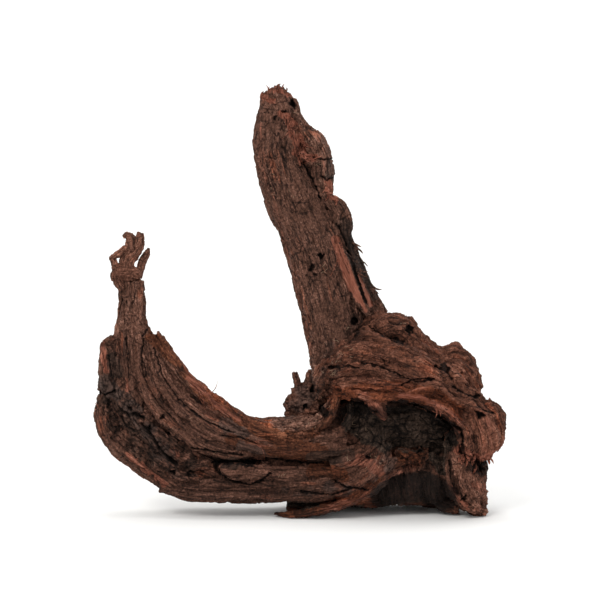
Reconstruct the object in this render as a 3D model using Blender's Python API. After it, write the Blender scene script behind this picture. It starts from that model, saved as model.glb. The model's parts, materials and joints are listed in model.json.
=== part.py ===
"""Aquarium driftwood: one piece of dark root wood, built from strands of grain that are fused into one body.

Each strand is a closed tapering tube, lofted through a few stations that say where the grain runs, how
wide it is across the view and how deep it is from front to back. Large strands carry grooves along the
grain. A voxel remesh fuses the strands, noise roughens the skin, and a cut at the floor leaves small flat
spots to stand on.

Stations are written in drawing units: the piece stands 430 units tall. X runs right, Y back and Z up from
the floor. MIDDLE is the point on the floor, under the middle of the piece, that becomes the origin.
"""

import math

import bmesh
import bpy
import numpy as np
from mathutils import Vector, noise

HEIGHT = 0.365  # metres, the real height that sets every other size
DRAWN_HEIGHT = 430
UNIT = HEIGHT / DRAWN_HEIGHT
MIDDLE = Vector((-0.45, 3.3, 0))

STEP = 3.0  # drawing units between rings of a loft
SIDES = 30
VOXEL = 1.25
MOST_TRIANGLES = 11000
FLOOR_CUT = 60  # thickness of the block cut away under the floor
LUMPS = ((15, 1.3), (6, 0.6))  # size and height of the skin's noise, both in drawing units
THINNEST = 0.6
DEEPEST_GROOVE = 0.35  # as a share of the strand's own radius


def smooth_path(stations, step):
    """Rows of evenly spaced values on a smooth curve through the stations."""
    rows = np.array(stations, float)
    along = np.concatenate([[0], np.cumsum(np.linalg.norm(np.diff(rows[:, :3], axis=0), axis=1))])
    slopes = np.gradient(rows, along, axis=0)
    count = max(3, int(math.ceil(along[-1] / step)) + 1)
    at = np.linspace(0, along[-1], count)
    i = np.clip(np.searchsorted(along, at, side="right") - 1, 0, len(along) - 2)
    span = (along[i + 1] - along[i])[:, None]
    t = (at - along[i])[:, None] / span
    start = (2 * t**3 - 3 * t**2 + 1) * rows[i] + (t**3 - 2 * t**2 + t) * span * slopes[i]
    end = (3 * t**2 - 2 * t**3) * rows[i + 1] + (t**3 - t**2) * span * slopes[i + 1]
    return at, start + end


def add_strand(mesh, stations, flutes, groove, seed):
    """Lofts one closed strand. A station is x, y, z, half width across the view and half depth."""
    at, rows = smooth_path(stations, STEP)
    centre = rows[:, :3]
    tangent = np.gradient(centre, axis=0)
    tangent /= np.linalg.norm(tangent, axis=1)[:, None]
    across = np.cross(tangent, (0, 1, 0))
    across /= np.linalg.norm(across, axis=1)[:, None]
    depth = np.cross(across, tangent)
    turn = np.linspace(0, 2 * math.pi, SIDES, endpoint=False)
    drift = at[:, None]
    wave = 0.30 * np.sin(2 * turn + drift / 37 + seed) + 0.22 * np.sin(3 * turn - drift / 23 + 2 * seed)
    valley = 1 - np.abs(np.cos(flutes * (turn + wave + seed) / 2)) ** 1.2
    half_width = np.maximum(rows[:, 3], THINNEST)[:, None] * np.cos(turn)
    half_depth = np.maximum(rows[:, 4], THINNEST)[:, None] * np.sin(turn)
    radius = np.hypot(half_width, half_depth)
    keep = 1 - np.minimum(groove * valley / radius, DEEPEST_GROOVE)
    points = (
        centre[:, None, :]
        + across[:, None, :] * (half_width * keep)[:, :, None]
        + depth[:, None, :] * (half_depth * keep)[:, :, None]
    )
    rings = [[mesh.verts.new(point) for point in ring] for ring in points]
    for ring, following in zip(rings, rings[1:]):
        for side in range(SIDES):
            beside = (side + 1) % SIDES
            mesh.faces.new((ring[side], ring[beside], following[beside], following[side]))
    mesh.faces.new(rings[0][::-1])
    mesh.faces.new(rings[-1])


# The left limb: bundles of grain with a split between them, which bend upwards side by side to a neck.
LEFT_LIMB = [
    (11, 3.0, [(44, 6, 74, 26, 33), (-1, 4, 74, 24.5, 31), (-51, 3, 74, 23, 30), (-102, 3, 95, 26, 27),
               (-136, 2, 121, 30, 24), (-157, 0, 154, 28, 20), (-167, -1, 174, 22, 16),
               (-169.5, -1, 195, 16, 13.5), (-169.5, -1, 214, 14.5, 12), (-169, -1, 234, 14, 11.5)]),
    (9, 3.0, [(44, 4, 37, 24, 32), (-1, 4, 37, 24, 31), (-51, 3, 37, 24, 30), (-97, 3, 45, 26, 28),
              (-134, 2, 66, 28, 25), (-164, 0, 96, 28, 22), (-180, -1, 128, 23, 20),
              (-183, -1, 152, 18, 17), (-178, -1, 174, 12, 13)]),
    # the smooth ridge along the inner edge, which sweeps up into the hood
    (4, 1.2, [(-146, -4, 180, 6, 8), (-132, -8, 158, 9, 10), (-112, -11, 134, 9.5, 11),
              (-89, -14, 114, 9.5, 12), (-64, -17, 98, 9, 13), (-39, -20, 86, 8.5, 13),
              (-11, -22, 85, 8.5, 13), (11, -25, 90, 9, 12), (26, -28, 102, 8, 12), (33, -28, 117, 7, 11),
              (37, -22, 132, 6, 9)]),
    (5, 1.4, [(-151, -8, 174, 7, 9), (-143, -13, 143, 10, 11), (-125, -16, 116, 10, 12),
              (-97, -19, 93, 11, 13), (-61, -22, 77, 11, 13), (-26, -24, 69, 11, 13), (4, -26, 68, 10, 13),
              (29, -26, 68, 8, 11), (53, -22, 68, 4, 7)]),
    (4, 0.8, [(-60, -18, 86, 7, 10), (-26, -21, 78, 8, 11), (4, -23, 78, 9, 11), (26, -22, 80, 8, 10),
              (42, -16, 84, 6, 8)]),
    (5, 1.4, [(-163, -9, 181, 7, 8), (-159, -14, 150, 10, 10), (-150, -18, 124, 10, 11),
              (-130, -20, 97, 10, 11), (-101, -22, 75, 10, 11), (-66, -22, 64, 8, 10),
              (-39, -20, 63, 4, 6)]),
    (4, 1.2, [(-174, -9, 184, 7, 8), (-172, -14, 154, 9, 9), (-168, -17, 129, 9, 9),
              (-160, -18, 110, 5, 6)]),
    # the knob at the outer corner and the outer bundle below it
    (4, 1.2, [(-194, -4, 172, 6, 8), (-193, -9, 160, 9, 12), (-193, -10, 138, 9, 13),
              (-192, -9, 122, 9, 12), (-190, -8, 110, 7, 8)]),
    (4, 1.0, [(-187, -4, 177, 5, 7), (-194, -6, 169, 7, 9), (-195, -8, 158, 6, 9)]),
    (7, 2.2, [(-195, -4, 120, 8, 12), (-196, -6, 98, 12, 16), (-188, -8, 78, 13, 18),
              (-167, -10, 59, 13, 19), (-142, -12, 41, 12.5, 20), (-118, -13, 27, 12.5, 22),
              (-86, -13, 24, 12, 24), (-46, -13, 24, 12, 25), (-1, -13, 26, 12, 25), (34, -13, 29, 12, 22),
              (54, -13, 32, 10, 16)]),
    (4, 1.0, [(-181, -16, 85, 4, 6), (-161, -20, 70, 6, 9), (-139, -23, 52, 6, 9), (-121, -25, 41, 6, 8),
              (-96, -22, 37, 4, 6)]),
    (4, 1.0, [(-140, -26, 29, 5, 8), (-101, -30, 23, 6, 9), (-56, -31, 23, 6, 9), (-11, -31, 22, 7, 9),
              (34, -29, 23, 6, 8)]),
    (4, 1.0, [(-100, -25, 34, 5, 8), (-56, -27, 34, 6, 9), (-6, -27, 34, 7, 9), (30, -26, 36, 7, 8),
              (52, -22, 40, 5, 6)]),
    # broken pieces lying in the split
    (5, 0.8, [(-115, -20, 50, 4, 5), (-103, -24, 52, 6.5, 8), (-92, -22, 52, 4, 6)]),
    (5, 1.0, [(-80, -24, 46, 4, 6), (-76, -27, 46, 7.5, 9), (-51, -28, 45, 8, 10), (-29, -29, 43, 8.5, 10),
              (-1, -27, 42, 8, 10), (24, -24, 43, 7, 9), (44, -22, 46, 5, 7)]),
]

FINGERS = [
    (5, 0.6, [(-186, -3, 233, 4, 6), (-184, -3, 240, 6.5, 7.5), (-175, -3, 242, 7, 9),
              (-166, -3, 240, 6.5, 9), (-160, -3, 237, 3.5, 7)]),
    (4, 0.4, [(-176, -3, 225, 6, 8), (-181, -3, 233, 6.5, 7), (-184, -3, 243, 5.5, 6),
              (-186.5, -3, 251, 4, 4.8), (-189, -4, 258, 3.2, 3.8)]),
    (4, 0.3, [(-189.5, -5, 256, 2.6, 3), (-183, -6, 259.5, 2.8, 4), (-177, -5, 263.5, 3.2, 4),
              (-170, -3, 268, 3.4, 3.6)]),
    (5, 0.8, [(-172, -2, 232, 9, 8), (-174, -2, 245, 8, 7.5), (-173, -2, 254, 8, 7),
              (-167, -2, 262, 8.4, 6.5), (-162.4, -1, 270, 7.2, 5.6), (-161, 0, 277, 5.2, 5),
              (-160, 0, 282, 3.8, 3.4)]),
    (4, 0.3, [(-168, -3, 263, 5, 5), (-170, -4, 270, 4.8, 4.6), (-169.5, -4, 276, 5, 4.6),
              (-173.5, -5, 279, 3.4, 3.6), (-177, -5, 277, 2.4, 2.6)]),
    (4, 0.3, [(-163, 2, 236, 3.8, 4.6), (-161, 3, 245, 4.2, 4.6), (-158.5, 4, 253, 4.2, 4.4),
              (-155, 5, 260, 3.6, 3.8), (-152.5, 6, 266, 1.8, 2)]),
]

# The upright limb, and the split strip and plates on its right side.
UPRIGHT = [
    (9, 3.6, [(45, 8, 116, 31, 25), (42, 9, 146, 33.5, 27), (37, 10, 176, 33, 27), (31, 11, 198, 31.5, 27),
              (23, 12, 227, 31, 26), (14, 13, 256, 29.5, 26), (7, 14, 276, 28.5, 25),
              (-1.5, 15, 298, 28.5, 25), (-9.5, 16, 317, 28.5, 24), (-15.5, 16, 334, 27.5, 22),
              (-20.5, 17, 350, 26, 21), (-23.5, 17, 363, 26, 20), (-24, 17, 379, 25, 18),
              (-23, 18, 393, 23, 16), (-22.5, 18, 403, 22.5, 15), (-24, 18, 412, 20, 13),
              (-27, 18, 421, 16, 10), (-29.5, 19, 429, 10, 7)]),
    (4, 1.0, [(-5, 16, 400, 4, 10), (2, 15, 386, 7, 11), (12, 13, 372, 12, 11), (19, 12, 356, 12, 10),
              (21.5, 11, 339, 12, 9), (23, 11, 325, 10.5, 8), (26, 12, 314, 6, 6)]),
    (4, 1.0, [(26, 12, 317, 6, 8), (36, 13, 306, 11, 10), (41, 14, 294, 11.5, 10), (42, 14, 278, 10, 9),
              (46, 14, 264, 8, 8), (53, 14, 249, 8, 8), (61, 13, 235, 7.5, 7), (68, 12, 222, 7, 7),
              (75, 12, 209, 6, 6)]),
    (5, 1.0, [(27, 20, 318, 4, 5), (33, 21, 302, 10, 11), (40, 22, 280, 11, 12), (51, 22, 252, 11.5, 12),
              (64, 20, 222, 12, 12), (76, 16, 196, 13, 12)]),
    (4, 0.6, [(36, 0, 272, 3, 6), (44, -4, 254, 7, 8), (52, -6, 234, 8, 8), (60, -7, 214, 7, 8),
              (67, -8, 198, 3, 5)]),
    (4, 0.4, [(54, 4, 250, 2.5, 4), (61, 2, 230, 4, 6), (67, 1, 214, 4, 6), (71, 0, 202, 2, 4)]),
    # splinters that stand out where the top plate has torn away
    (3, 0.3, [(-1, 3, 362, 3, 4), (4, -1, 355, 4, 5), (11, 0, 350, 3, 4)]),
]

# The root block. Its core lies behind the hollow, and the hood hangs over it from the left to the right.
ROOT_CORE = [
    (9, 3.0, [(34, 14, 86, 36, 32), (64, 20, 90, 52, 39), (99, 24, 92, 58, 40), (139, 22, 92, 56, 38),
              (172, 16, 82, 36, 30)]),
    (7, 2.4, [(24, 8, 40, 28, 28), (64, 8, 32, 30, 32), (104, 8, 35, 28, 32), (144, 6, 33, 28, 32),
              (172, 4, 32, 22, 26)]),
]

HOOD = [
    (7, 2.6, [(51, 2, 159, 14, 16), (71, 2, 177, 19, 22), (96, 4, 182, 19, 26), (115, 6, 167, 17, 28),
              (136, 8, 150, 16.5, 28), (161, 8, 141, 18, 26), (171, 8, 121, 15, 22)]),
    (4, 1.0, [(143, 3, 152, 8, 12), (153, 2, 161, 10, 14), (164, 3, 156, 9, 12), (171, 6, 144, 8, 12)]),
    (4, 0.8, [(71, 6, 182, 13, 10), (77, 8, 194, 10, 8), (80, 10, 202, 6, 5), (86, 11, 201, 6, 5)]),
    (7, 3.0, [(19, -8, 124, 9, 14), (28, -14, 140, 15, 20), (49, -18, 150, 26, 26), (84, -22, 148, 30, 29),
              (119, -22, 135, 27, 29), (148, -18, 118, 24, 26), (176, -12, 98, 18, 21),
              (190, -10, 82, 12, 16), (193, -8, 69, 8, 9)]),
    # the lip over the hollow, with a drip hanging from it
    (5, 1.2, [(26, -20, 122, 6, 10), (47, -30, 125, 7, 15), (69, -35, 121, 8, 18), (91, -37, 122, 7, 19),
              (111, -38, 120, 7, 18), (131, -37, 114, 8, 17), (147, -36, 104, 9, 16), (158, -36, 91, 9, 14),
              (163, -36, 77, 9, 12), (168, -34, 64, 7, 9)]),
    (4, 0.4, [(70, -42, 120, 9, 9), (75, -45, 111, 6.5, 8), (80, -46, 104, 5, 6), (83, -46, 99, 2.5, 3)]),
    (4, 0.8, [(30, -26, 132, 8, 10), (50, -33, 135, 9, 14), (75, -37, 134, 10, 16), (100, -38, 132, 9, 16),
              (122, -37, 127, 8, 15), (140, -34, 119, 8, 14)]),
    # the fold above the lip, and the flap that hangs down on the right
    (4, 0.6, [(97, -44, 126, 3, 6), (114, -47, 131, 5, 8), (131, -46, 131, 6, 8), (149, -42, 120, 6, 8),
              (171, -34, 108, 6, 8), (188, -26, 99, 5, 7)]),
    (5, 1.6, [(165, -22, 114, 10, 12), (175, -29, 94, 16, 13), (180, -32, 76, 16, 12),
              (180, -32, 65, 13, 9), (179, -30, 58, 8, 7)]),
    (4, 1.0, [(182, -16, 111, 9, 10), (193, -18, 101, 10, 12), (195, -20, 84, 8, 10),
              (191, -22, 68, 6, 8)]),
    # bands of grain on top of the hood
    (3, 0.6, [(29, -20, 154, 4, 6), (45, -30, 165, 7, 9), (69, -36, 163, 7, 10), (97, -38, 155, 6, 9),
              (124, -36, 147, 4, 7)]),
    (3, 0.6, [(50, -20, 174, 5, 7), (64, -26, 179, 6, 8), (84, -28, 173, 6, 8), (109, -28, 165, 6, 8),
              (134, -24, 155, 4, 6)]),
    (3, 0.6, [(25, -34, 142, 4, 6), (44, -42, 148, 6, 8), (66, -46, 149, 6, 8), (92, -47, 143, 6, 8),
              (114, -46, 136, 4, 6)]),
]

# The feet: a front foot that curls up round the hollow, a sole under the limb, a right foot and the base.
FEET = [
    (6, 0.8, [(-28, -24, 2.6, 1.8, 4), (-13, -26, 2.8, 3.4, 9), (4, -28, 4.4, 4.8, 12),
              (24, -30, 9.5, 5, 14), (44, -31, 15, 5, 15), (61, -32, 23, 6, 15), (75, -32, 34, 7, 14),
              (86, -29, 45, 8, 13), (97, -24, 53, 8, 12), (110, -17, 57, 6, 9)]),
    (5, 0.8, [(-14, -2, 8, 5, 12), (0, 0, 8, 8, 15), (34, 4, 12, 9, 18), (69, 8, 16, 9, 18),
              (92, 8, 19, 8, 16)]),
    (6, 0.9, [(14, -22, 30, 10, 12), (34, -25, 30, 12, 14), (54, -28, 34, 13, 14), (70, -27, 46, 13, 13),
              (80, -22, 60, 11, 11), (84, -14, 72, 7, 8)]),
    (7, 1.2, [(30, -20, 48, 13, 13), (48, -22, 52, 14, 14), (64, -20, 62, 14, 13), (74, -14, 76, 13, 12),
              (78, -6, 90, 10, 9)]),
    (4, 0.8, [(97, -18, 62, 6, 8), (107, -21, 58, 8, 9), (118, -19, 55, 7, 9), (128, -14, 60, 5, 7)]),
    (5, 0.6, [(33, -22, 84, 5, 7), (44, -24, 90, 5, 7), (48, -22, 99, 5, 7), (49, -16, 110, 4, 6)]),
    (7, 2.0, [(148, -12, 84, 7, 10), (153, -18, 68, 12, 16), (158, -21, 48, 18, 20), (163, -21, 28, 20, 22),
              (171, -18, 13, 14, 16), (180, -15, 1, 6, 9)]),
    (5, 1.2, [(178, 2, 72, 9, 18), (178.5, 2, 44, 8.5, 20), (177, 2, 22, 8.5, 18), (168, 2, 8, 8, 12)]),
    (3, 0.4, [(146, -28, 66, 3, 5), (146, -36, 44, 4, 6), (150, -39, 26, 4, 6), (160, -37, 13, 4, 6),
              (172, -30, 8, 3, 4)]),
    (5, 1.0, [(124, -6, 26, 6, 12), (142, -10, 11, 8, 14), (159, -12, 7, 7, 12)]),
    # the base under the hollow, where the grain runs upright, and the crumbled ridge above it
    (5, 1.0, [(84, -16, 56, 9, 9), (88, -20, 40, 11, 9), (90, -21, 24, 13, 9), (90, -18, 12, 12, 8)]),
    (5, 1.2, [(106, -18, 62, 10, 8), (109, -21, 44, 12, 9), (111, -22, 28, 14, 9), (112, -18, 16, 13, 8)]),
    (5, 1.2, [(126, -16, 62, 9, 8), (130, -20, 44, 11, 9), (132, -21, 28, 13, 9), (136, -17, 16, 12, 8)]),
    (4, 0.8, [(94, -24, 66, 4, 5), (104, -27, 61, 7, 6), (113, -26, 61, 7, 6), (123, -22, 58, 4, 5)]),
    (4, 0.8, [(116, -20, 68, 3, 4), (121, -25, 60, 6, 6), (120, -25, 50, 6, 6), (112, -20, 44, 3, 4)]),
]

STUB = [
    (7, 1.6, [(29, 20, 104, 20, 16), (10, 22, 106, 18, 18), (-5, 24, 106, 13.5, 15),
              (-16, 24, 101, 8.5, 9)]),
    (5, 1.0, [(17, 20, 118, 16, 13), (3, 22, 119, 11, 12), (-8, 24, 116, 7, 8)]),
    (5, 1.0, [(14, 24, 90, 12, 12), (-4, 24, 93, 10, 12), (-17, 22, 93, 7, 8)]),
    (4, 0.6, [(14, 20, 122, 11, 9), (12, 20, 133, 9, 8), (13, 20, 142, 6, 5)]),
    (4, 0.4, [(0, 24, 118, 6, 7), (-4, 24, 129, 4.5, 5), (-7, 24, 139, 2.4, 3)]),
]

# The back: the upright's grain spreads into buttresses, and the left limb's grain runs into the block.
BACK = [
    (9, 3.0, [(30, 18, 206, 20, 12), (38, 26, 166, 26, 16), (50, 36, 116, 32, 20), (60, 42, 66, 36, 21),
              (63, 44, 30, 32, 19), (60, 45, -5, 17, 12)]),
    (9, 3.0, [(66, 16, 186, 14, 12), (90, 26, 164, 24, 18), (113, 36, 126, 28, 20), (134, 41, 84, 31, 20),
              (141, 38, 40, 27, 18), (138, 34, -5, 15, 10)]),
    (7, 2.6, [(-16, 20, 62, 12, 8), (9, 28, 62, 22, 14), (44, 38, 62, 26, 18), (84, 44, 64, 26, 18),
              (129, 46, 68, 18, 12)]),
    (7, 2.6, [(137, 18, 148, 14, 16), (161, 22, 124, 20, 20), (177, 20, 88, 15, 15), (178, 14, 52, 9, 14)]),
    (6, 2.0, [(40, 14, 174, 14, 10), (64, 20, 178, 18, 14), (100, 22, 166, 18, 16),
              (140, 18, 148, 14, 14)]),
    (6, 1.6, [(34, 36, 58, 16, 14), (16, 35, 30, 15, 13), (6, 33, -5, 9, 9)]),
    # the mass that joins the buttresses just above the floor
    (6, 1.6, [(2, 30, 24, 8, 8), (30, 40, 21, 12, 12), (62, 46, 24, 13, 13), (100, 44, 22, 13, 14),
              (134, 38, 24, 12, 12), (164, 26, 28, 8, 10)]),
    (5, 1.2, [(18, 46, 40, 5, 6), (44, 55, 34, 8, 7), (78, 57, 38, 8, 7), (110, 56, 32, 7, 7),
              (138, 50, 40, 4, 6)]),
]


def object_from(mesh, name):
    data = bpy.data.meshes.new(name)
    mesh.to_mesh(data)
    mesh.free()
    thing = bpy.data.objects.new(name, data)
    bpy.context.scene.collection.objects.link(thing)
    return thing


def fused_strands():
    """One object holding every strand, fused by a voxel remesh."""
    mesh = bmesh.new()
    strands = LEFT_LIMB + FINGERS + UPRIGHT + ROOT_CORE + HOOD + FEET + STUB + BACK
    for seed, (flutes, groove, stations) in enumerate(strands):
        add_strand(mesh, stations, flutes, groove, seed)
    piece = object_from(mesh, "driftwood")
    fuse = piece.modifiers.new("fuse", "REMESH")
    fuse.mode = "VOXEL"
    fuse.voxel_size = VOXEL
    return piece


def apply_modifiers(piece):
    """Replaces the piece's mesh by what its modifiers make of it."""
    bpy.context.view_layer.update()
    graph = bpy.context.evaluated_depsgraph_get()
    made = bpy.data.meshes.new_from_object(piece.evaluated_get(graph))
    piece.modifiers.clear()
    piece.data = made


def roughen(mesh):
    """Moves each point in or out along its normal by noise of several sizes."""
    moves = []
    for vertex in mesh.vertices:
        height = sum(tall * noise.noise(vertex.co / size) for size, tall in LUMPS)
        moves.append(vertex.co + vertex.normal * height)
    for vertex, place in zip(mesh.vertices, moves):
        vertex.co = place


def wood_material():
    material = bpy.data.materials.new("dark_root_wood")
    material.use_nodes = True
    shader = material.node_tree.nodes["Principled BSDF"]
    shader.inputs["Base Color"].default_value = (0.060, 0.028, 0.019, 1)
    shader.inputs["Roughness"].default_value = 0.75
    shader.inputs["Metallic"].default_value = 0.0
    return material


def floor_block():
    """The cutter that leaves flat spots on the lowest points."""
    mesh = bmesh.new()
    bmesh.ops.create_cube(mesh, size=1)
    bmesh.ops.scale(mesh, verts=mesh.verts, vec=(2 * DRAWN_HEIGHT, 2 * DRAWN_HEIGHT, FLOOR_CUT))
    bmesh.ops.translate(mesh, verts=mesh.verts, vec=(0, 0, -FLOOR_CUT / 2))
    block = object_from(mesh, "floor_block")
    block.hide_render = True
    block.display_type = "WIRE"
    return block


def build():
    for thing in list(bpy.data.objects):
        bpy.data.objects.remove(thing)
    piece = fused_strands()
    apply_modifiers(piece)
    roughen(piece.data)

    piece.data.calc_loop_triangles()
    thin = piece.modifiers.new("thin", "DECIMATE")
    thin.ratio = MOST_TRIANGLES / len(piece.data.loop_triangles)
    thin.use_collapse_triangulate = True
    cut = piece.modifiers.new("floor", "BOOLEAN")
    cut.operation = "DIFFERENCE"
    cut.solver = "EXACT"
    block = floor_block()
    cut.object = block
    apply_modifiers(piece)
    bpy.data.objects.remove(block)

    for vertex in piece.data.vertices:
        vertex.co = (vertex.co - MIDDLE) * UNIT
    piece.data.shade_smooth()
    piece.data.materials.clear()
    piece.data.materials.append(wood_material())


build()
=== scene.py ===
"""Visual model of the aquarium driftwood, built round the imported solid.

The wood is lofted from the same strands of grain as the solid. Each piece is fused by a fine voxel remesh,
and then carved along the grain: every point knows how far it is along its strand and where it lies in the
strand's section, so creases, fibres and cracks run with the wood. The same coordinates drive the material.

Lengths are in drawing units unless a name says otherwise: X right, Y back, Z up, on the floor at Z = 0.
"""

import itertools
import json
import math

import bpy
import numpy as np
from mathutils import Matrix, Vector, kdtree

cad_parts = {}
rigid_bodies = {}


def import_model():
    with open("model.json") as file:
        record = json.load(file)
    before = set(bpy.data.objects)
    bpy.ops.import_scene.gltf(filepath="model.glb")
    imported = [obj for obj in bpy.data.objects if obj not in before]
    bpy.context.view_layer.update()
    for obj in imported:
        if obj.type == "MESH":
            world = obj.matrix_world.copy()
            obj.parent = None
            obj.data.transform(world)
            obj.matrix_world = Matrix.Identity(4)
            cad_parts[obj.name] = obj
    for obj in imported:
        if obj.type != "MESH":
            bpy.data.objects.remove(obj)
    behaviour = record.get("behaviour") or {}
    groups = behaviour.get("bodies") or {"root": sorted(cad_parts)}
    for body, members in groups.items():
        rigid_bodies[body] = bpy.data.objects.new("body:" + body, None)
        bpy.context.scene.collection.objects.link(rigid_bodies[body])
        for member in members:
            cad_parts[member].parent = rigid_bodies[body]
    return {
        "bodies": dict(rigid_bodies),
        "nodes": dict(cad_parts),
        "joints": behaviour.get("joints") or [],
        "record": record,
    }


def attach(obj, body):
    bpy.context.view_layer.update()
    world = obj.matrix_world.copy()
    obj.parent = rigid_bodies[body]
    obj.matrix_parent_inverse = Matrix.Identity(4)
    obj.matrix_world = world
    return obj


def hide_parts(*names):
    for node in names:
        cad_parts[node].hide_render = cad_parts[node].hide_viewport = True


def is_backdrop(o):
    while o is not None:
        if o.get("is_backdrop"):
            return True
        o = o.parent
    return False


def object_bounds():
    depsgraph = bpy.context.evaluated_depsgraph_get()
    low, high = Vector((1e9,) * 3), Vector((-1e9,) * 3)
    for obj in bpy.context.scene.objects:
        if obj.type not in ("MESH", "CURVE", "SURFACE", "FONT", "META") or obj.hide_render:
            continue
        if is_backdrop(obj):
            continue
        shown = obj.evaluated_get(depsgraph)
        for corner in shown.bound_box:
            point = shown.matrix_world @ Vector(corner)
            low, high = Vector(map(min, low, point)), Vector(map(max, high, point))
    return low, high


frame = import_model()
cad_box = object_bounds()

HEIGHT = 0.365  # metres
DRAWN_HEIGHT = 430
UNIT = HEIGHT / DRAWN_HEIGHT
MIDDLE = np.array((-0.45, 3.3, 0))  # the point of the drawing that is the frame's origin
INSET = 0.05  # how far every point stays inside the box round the solid

STEP = 1.5  # between the rings of a strand
SIDES = 56
THINNEST = 0.6  # half width of a strand's ends
DEEPEST_GROOVE = 0.35  # as a share of the strand's radius
STRAND_SHIFT = 400  # how far the grain of one strand is moved along from the next, so that no two are alike
PIECE_SEEDS = 20  # seeds kept for the strands of one piece

# What the material reads at every point of the wood.
STYLED = ("warm", "pitted", "rough", "pale")
ATTRIBUTES = ("relief", "fresh", "rusty", "peeled", "charred_and_shade", "slate", "hollow", "lifted", "cut") + STYLED

# Each strand in the tables below: its flutes, how deep they are, and its stations as x, y, z, half width and
# half depth.

# The left limb: bundles of grain with a split between them, which bend upwards side by side to a neck.
LEFT_LIMB = [
    (11, 3, [(44, 6, 74, 26, 33), (-1, 4, 74, 24.5, 31), (-51, 3, 74, 23, 30), (-102, 3, 95, 26, 27),
        (-136, 2, 121, 30, 24), (-157, 0, 154, 28, 20), (-167, -1, 174, 22, 16), (-169.5, -1, 195, 16, 13.5),
        (-169.5, -1, 214, 14.5, 12), (-169, -1, 234, 14, 11.5)]),
    (9, 3, [(44, 4, 37, 24, 32), (-1, 4, 37, 24, 31), (-51, 3, 37, 24, 30), (-97, 3, 45, 26, 28),
        (-134, 2, 66, 28, 25), (-164, 0, 96, 28, 22), (-180, -1, 128, 23, 20), (-183, -1, 152, 18, 17),
        (-178, -1, 174, 12, 13)]),
    # the smooth ridge along the inner edge, which sweeps up into the hood
    (4, 1.2, [(-146, -4, 180, 6, 8), (-132, -8, 158, 9, 10), (-112, -11, 134, 9.5, 11),
        (-89, -14, 114, 9.5, 12), (-64, -17, 98, 9, 13), (-39, -20, 86, 8.5, 13), (-11, -22, 85, 8.5, 13),
        (11, -25, 90, 9, 12), (26, -28, 102, 8, 12), (33, -28, 117, 7, 11), (37, -22, 132, 6, 9)]),
    (5, 1.4, [(-151, -8, 174, 7, 9), (-143, -13, 143, 10, 11), (-125, -16, 116, 10, 12),
        (-97, -19, 93, 11, 13), (-61, -22, 77, 11, 13), (-26, -24, 69, 11, 13), (4, -26, 68, 10, 13),
        (29, -26, 68, 8, 11), (53, -22, 68, 4, 7)]),
    (4, 0.8, [(-60, -18, 86, 7, 10), (-26, -21, 78, 8, 11), (4, -23, 78, 9, 11), (26, -22, 80, 8, 10),
        (42, -16, 84, 6, 8)]),
    (5, 1.4, [(-163, -9, 181, 7, 8), (-159, -14, 150, 10, 10), (-150, -18, 124, 10, 11),
        (-130, -20, 97, 10, 11), (-101, -22, 75, 10, 11), (-66, -22, 64, 8, 10), (-39, -20, 63, 4, 6)]),
    (4, 1.2, [(-174, -9, 184, 7, 8), (-172, -14, 154, 9, 9), (-168, -17, 129, 9, 9),
        (-160, -18, 110, 5, 6)]),
    # the knob at the outer corner and the outer bundle below it
    (4, 1.2, [(-194, -4, 172, 6, 8), (-193, -9, 160, 9, 12), (-193, -10, 138, 9, 13), (-192, -9, 122, 9, 12),
        (-190, -8, 110, 7, 8)]),
    (4, 1, [(-187, -4, 177, 5, 7), (-194, -6, 169, 7, 9), (-195, -8, 158, 6, 9)]),
    (7, 2.2, [(-195, -4, 120, 8, 12), (-196, -6, 98, 12, 16), (-188, -8, 78, 13, 18), (-167, -10, 59, 13, 19),
        (-142, -12, 41, 12.5, 20), (-118, -13, 27, 12.5, 22), (-86, -13, 24, 12, 24), (-46, -13, 24, 12, 25),
        (-1, -13, 26, 12, 25), (34, -13, 29, 12, 22), (54, -13, 32, 10, 16)]),
    (4, 1, [(-181, -16, 85, 4, 6), (-161, -20, 70, 6, 9), (-139, -23, 52, 6, 9), (-121, -25, 41, 6, 8),
        (-96, -22, 37, 4, 6)]),
    (4, 1, [(-140, -26, 29, 5, 8), (-101, -30, 23, 6, 9), (-56, -31, 23, 6, 9), (-11, -31, 22, 7, 9),
        (34, -29, 23, 6, 8)]),
    (4, 1, [(-100, -25, 34, 5, 8), (-56, -27, 34, 6, 9), (-6, -27, 34, 7, 9), (30, -26, 36, 7, 8),
        (52, -22, 40, 5, 6)]),
    # broken pieces lying in the split
    (5, 0.8, [(-115, -20, 50, 4, 5), (-103, -24, 52, 6.5, 8), (-92, -22, 52, 4, 6)]),
    (5, 1, [(-80, -24, 46, 4, 6), (-76, -27, 46, 7.5, 9), (-51, -28, 45, 8, 10), (-29, -29, 43, 8.5, 10),
        (-1, -27, 42, 8, 10), (24, -24, 43, 7, 9), (44, -22, 46, 5, 7)]),
]

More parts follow.
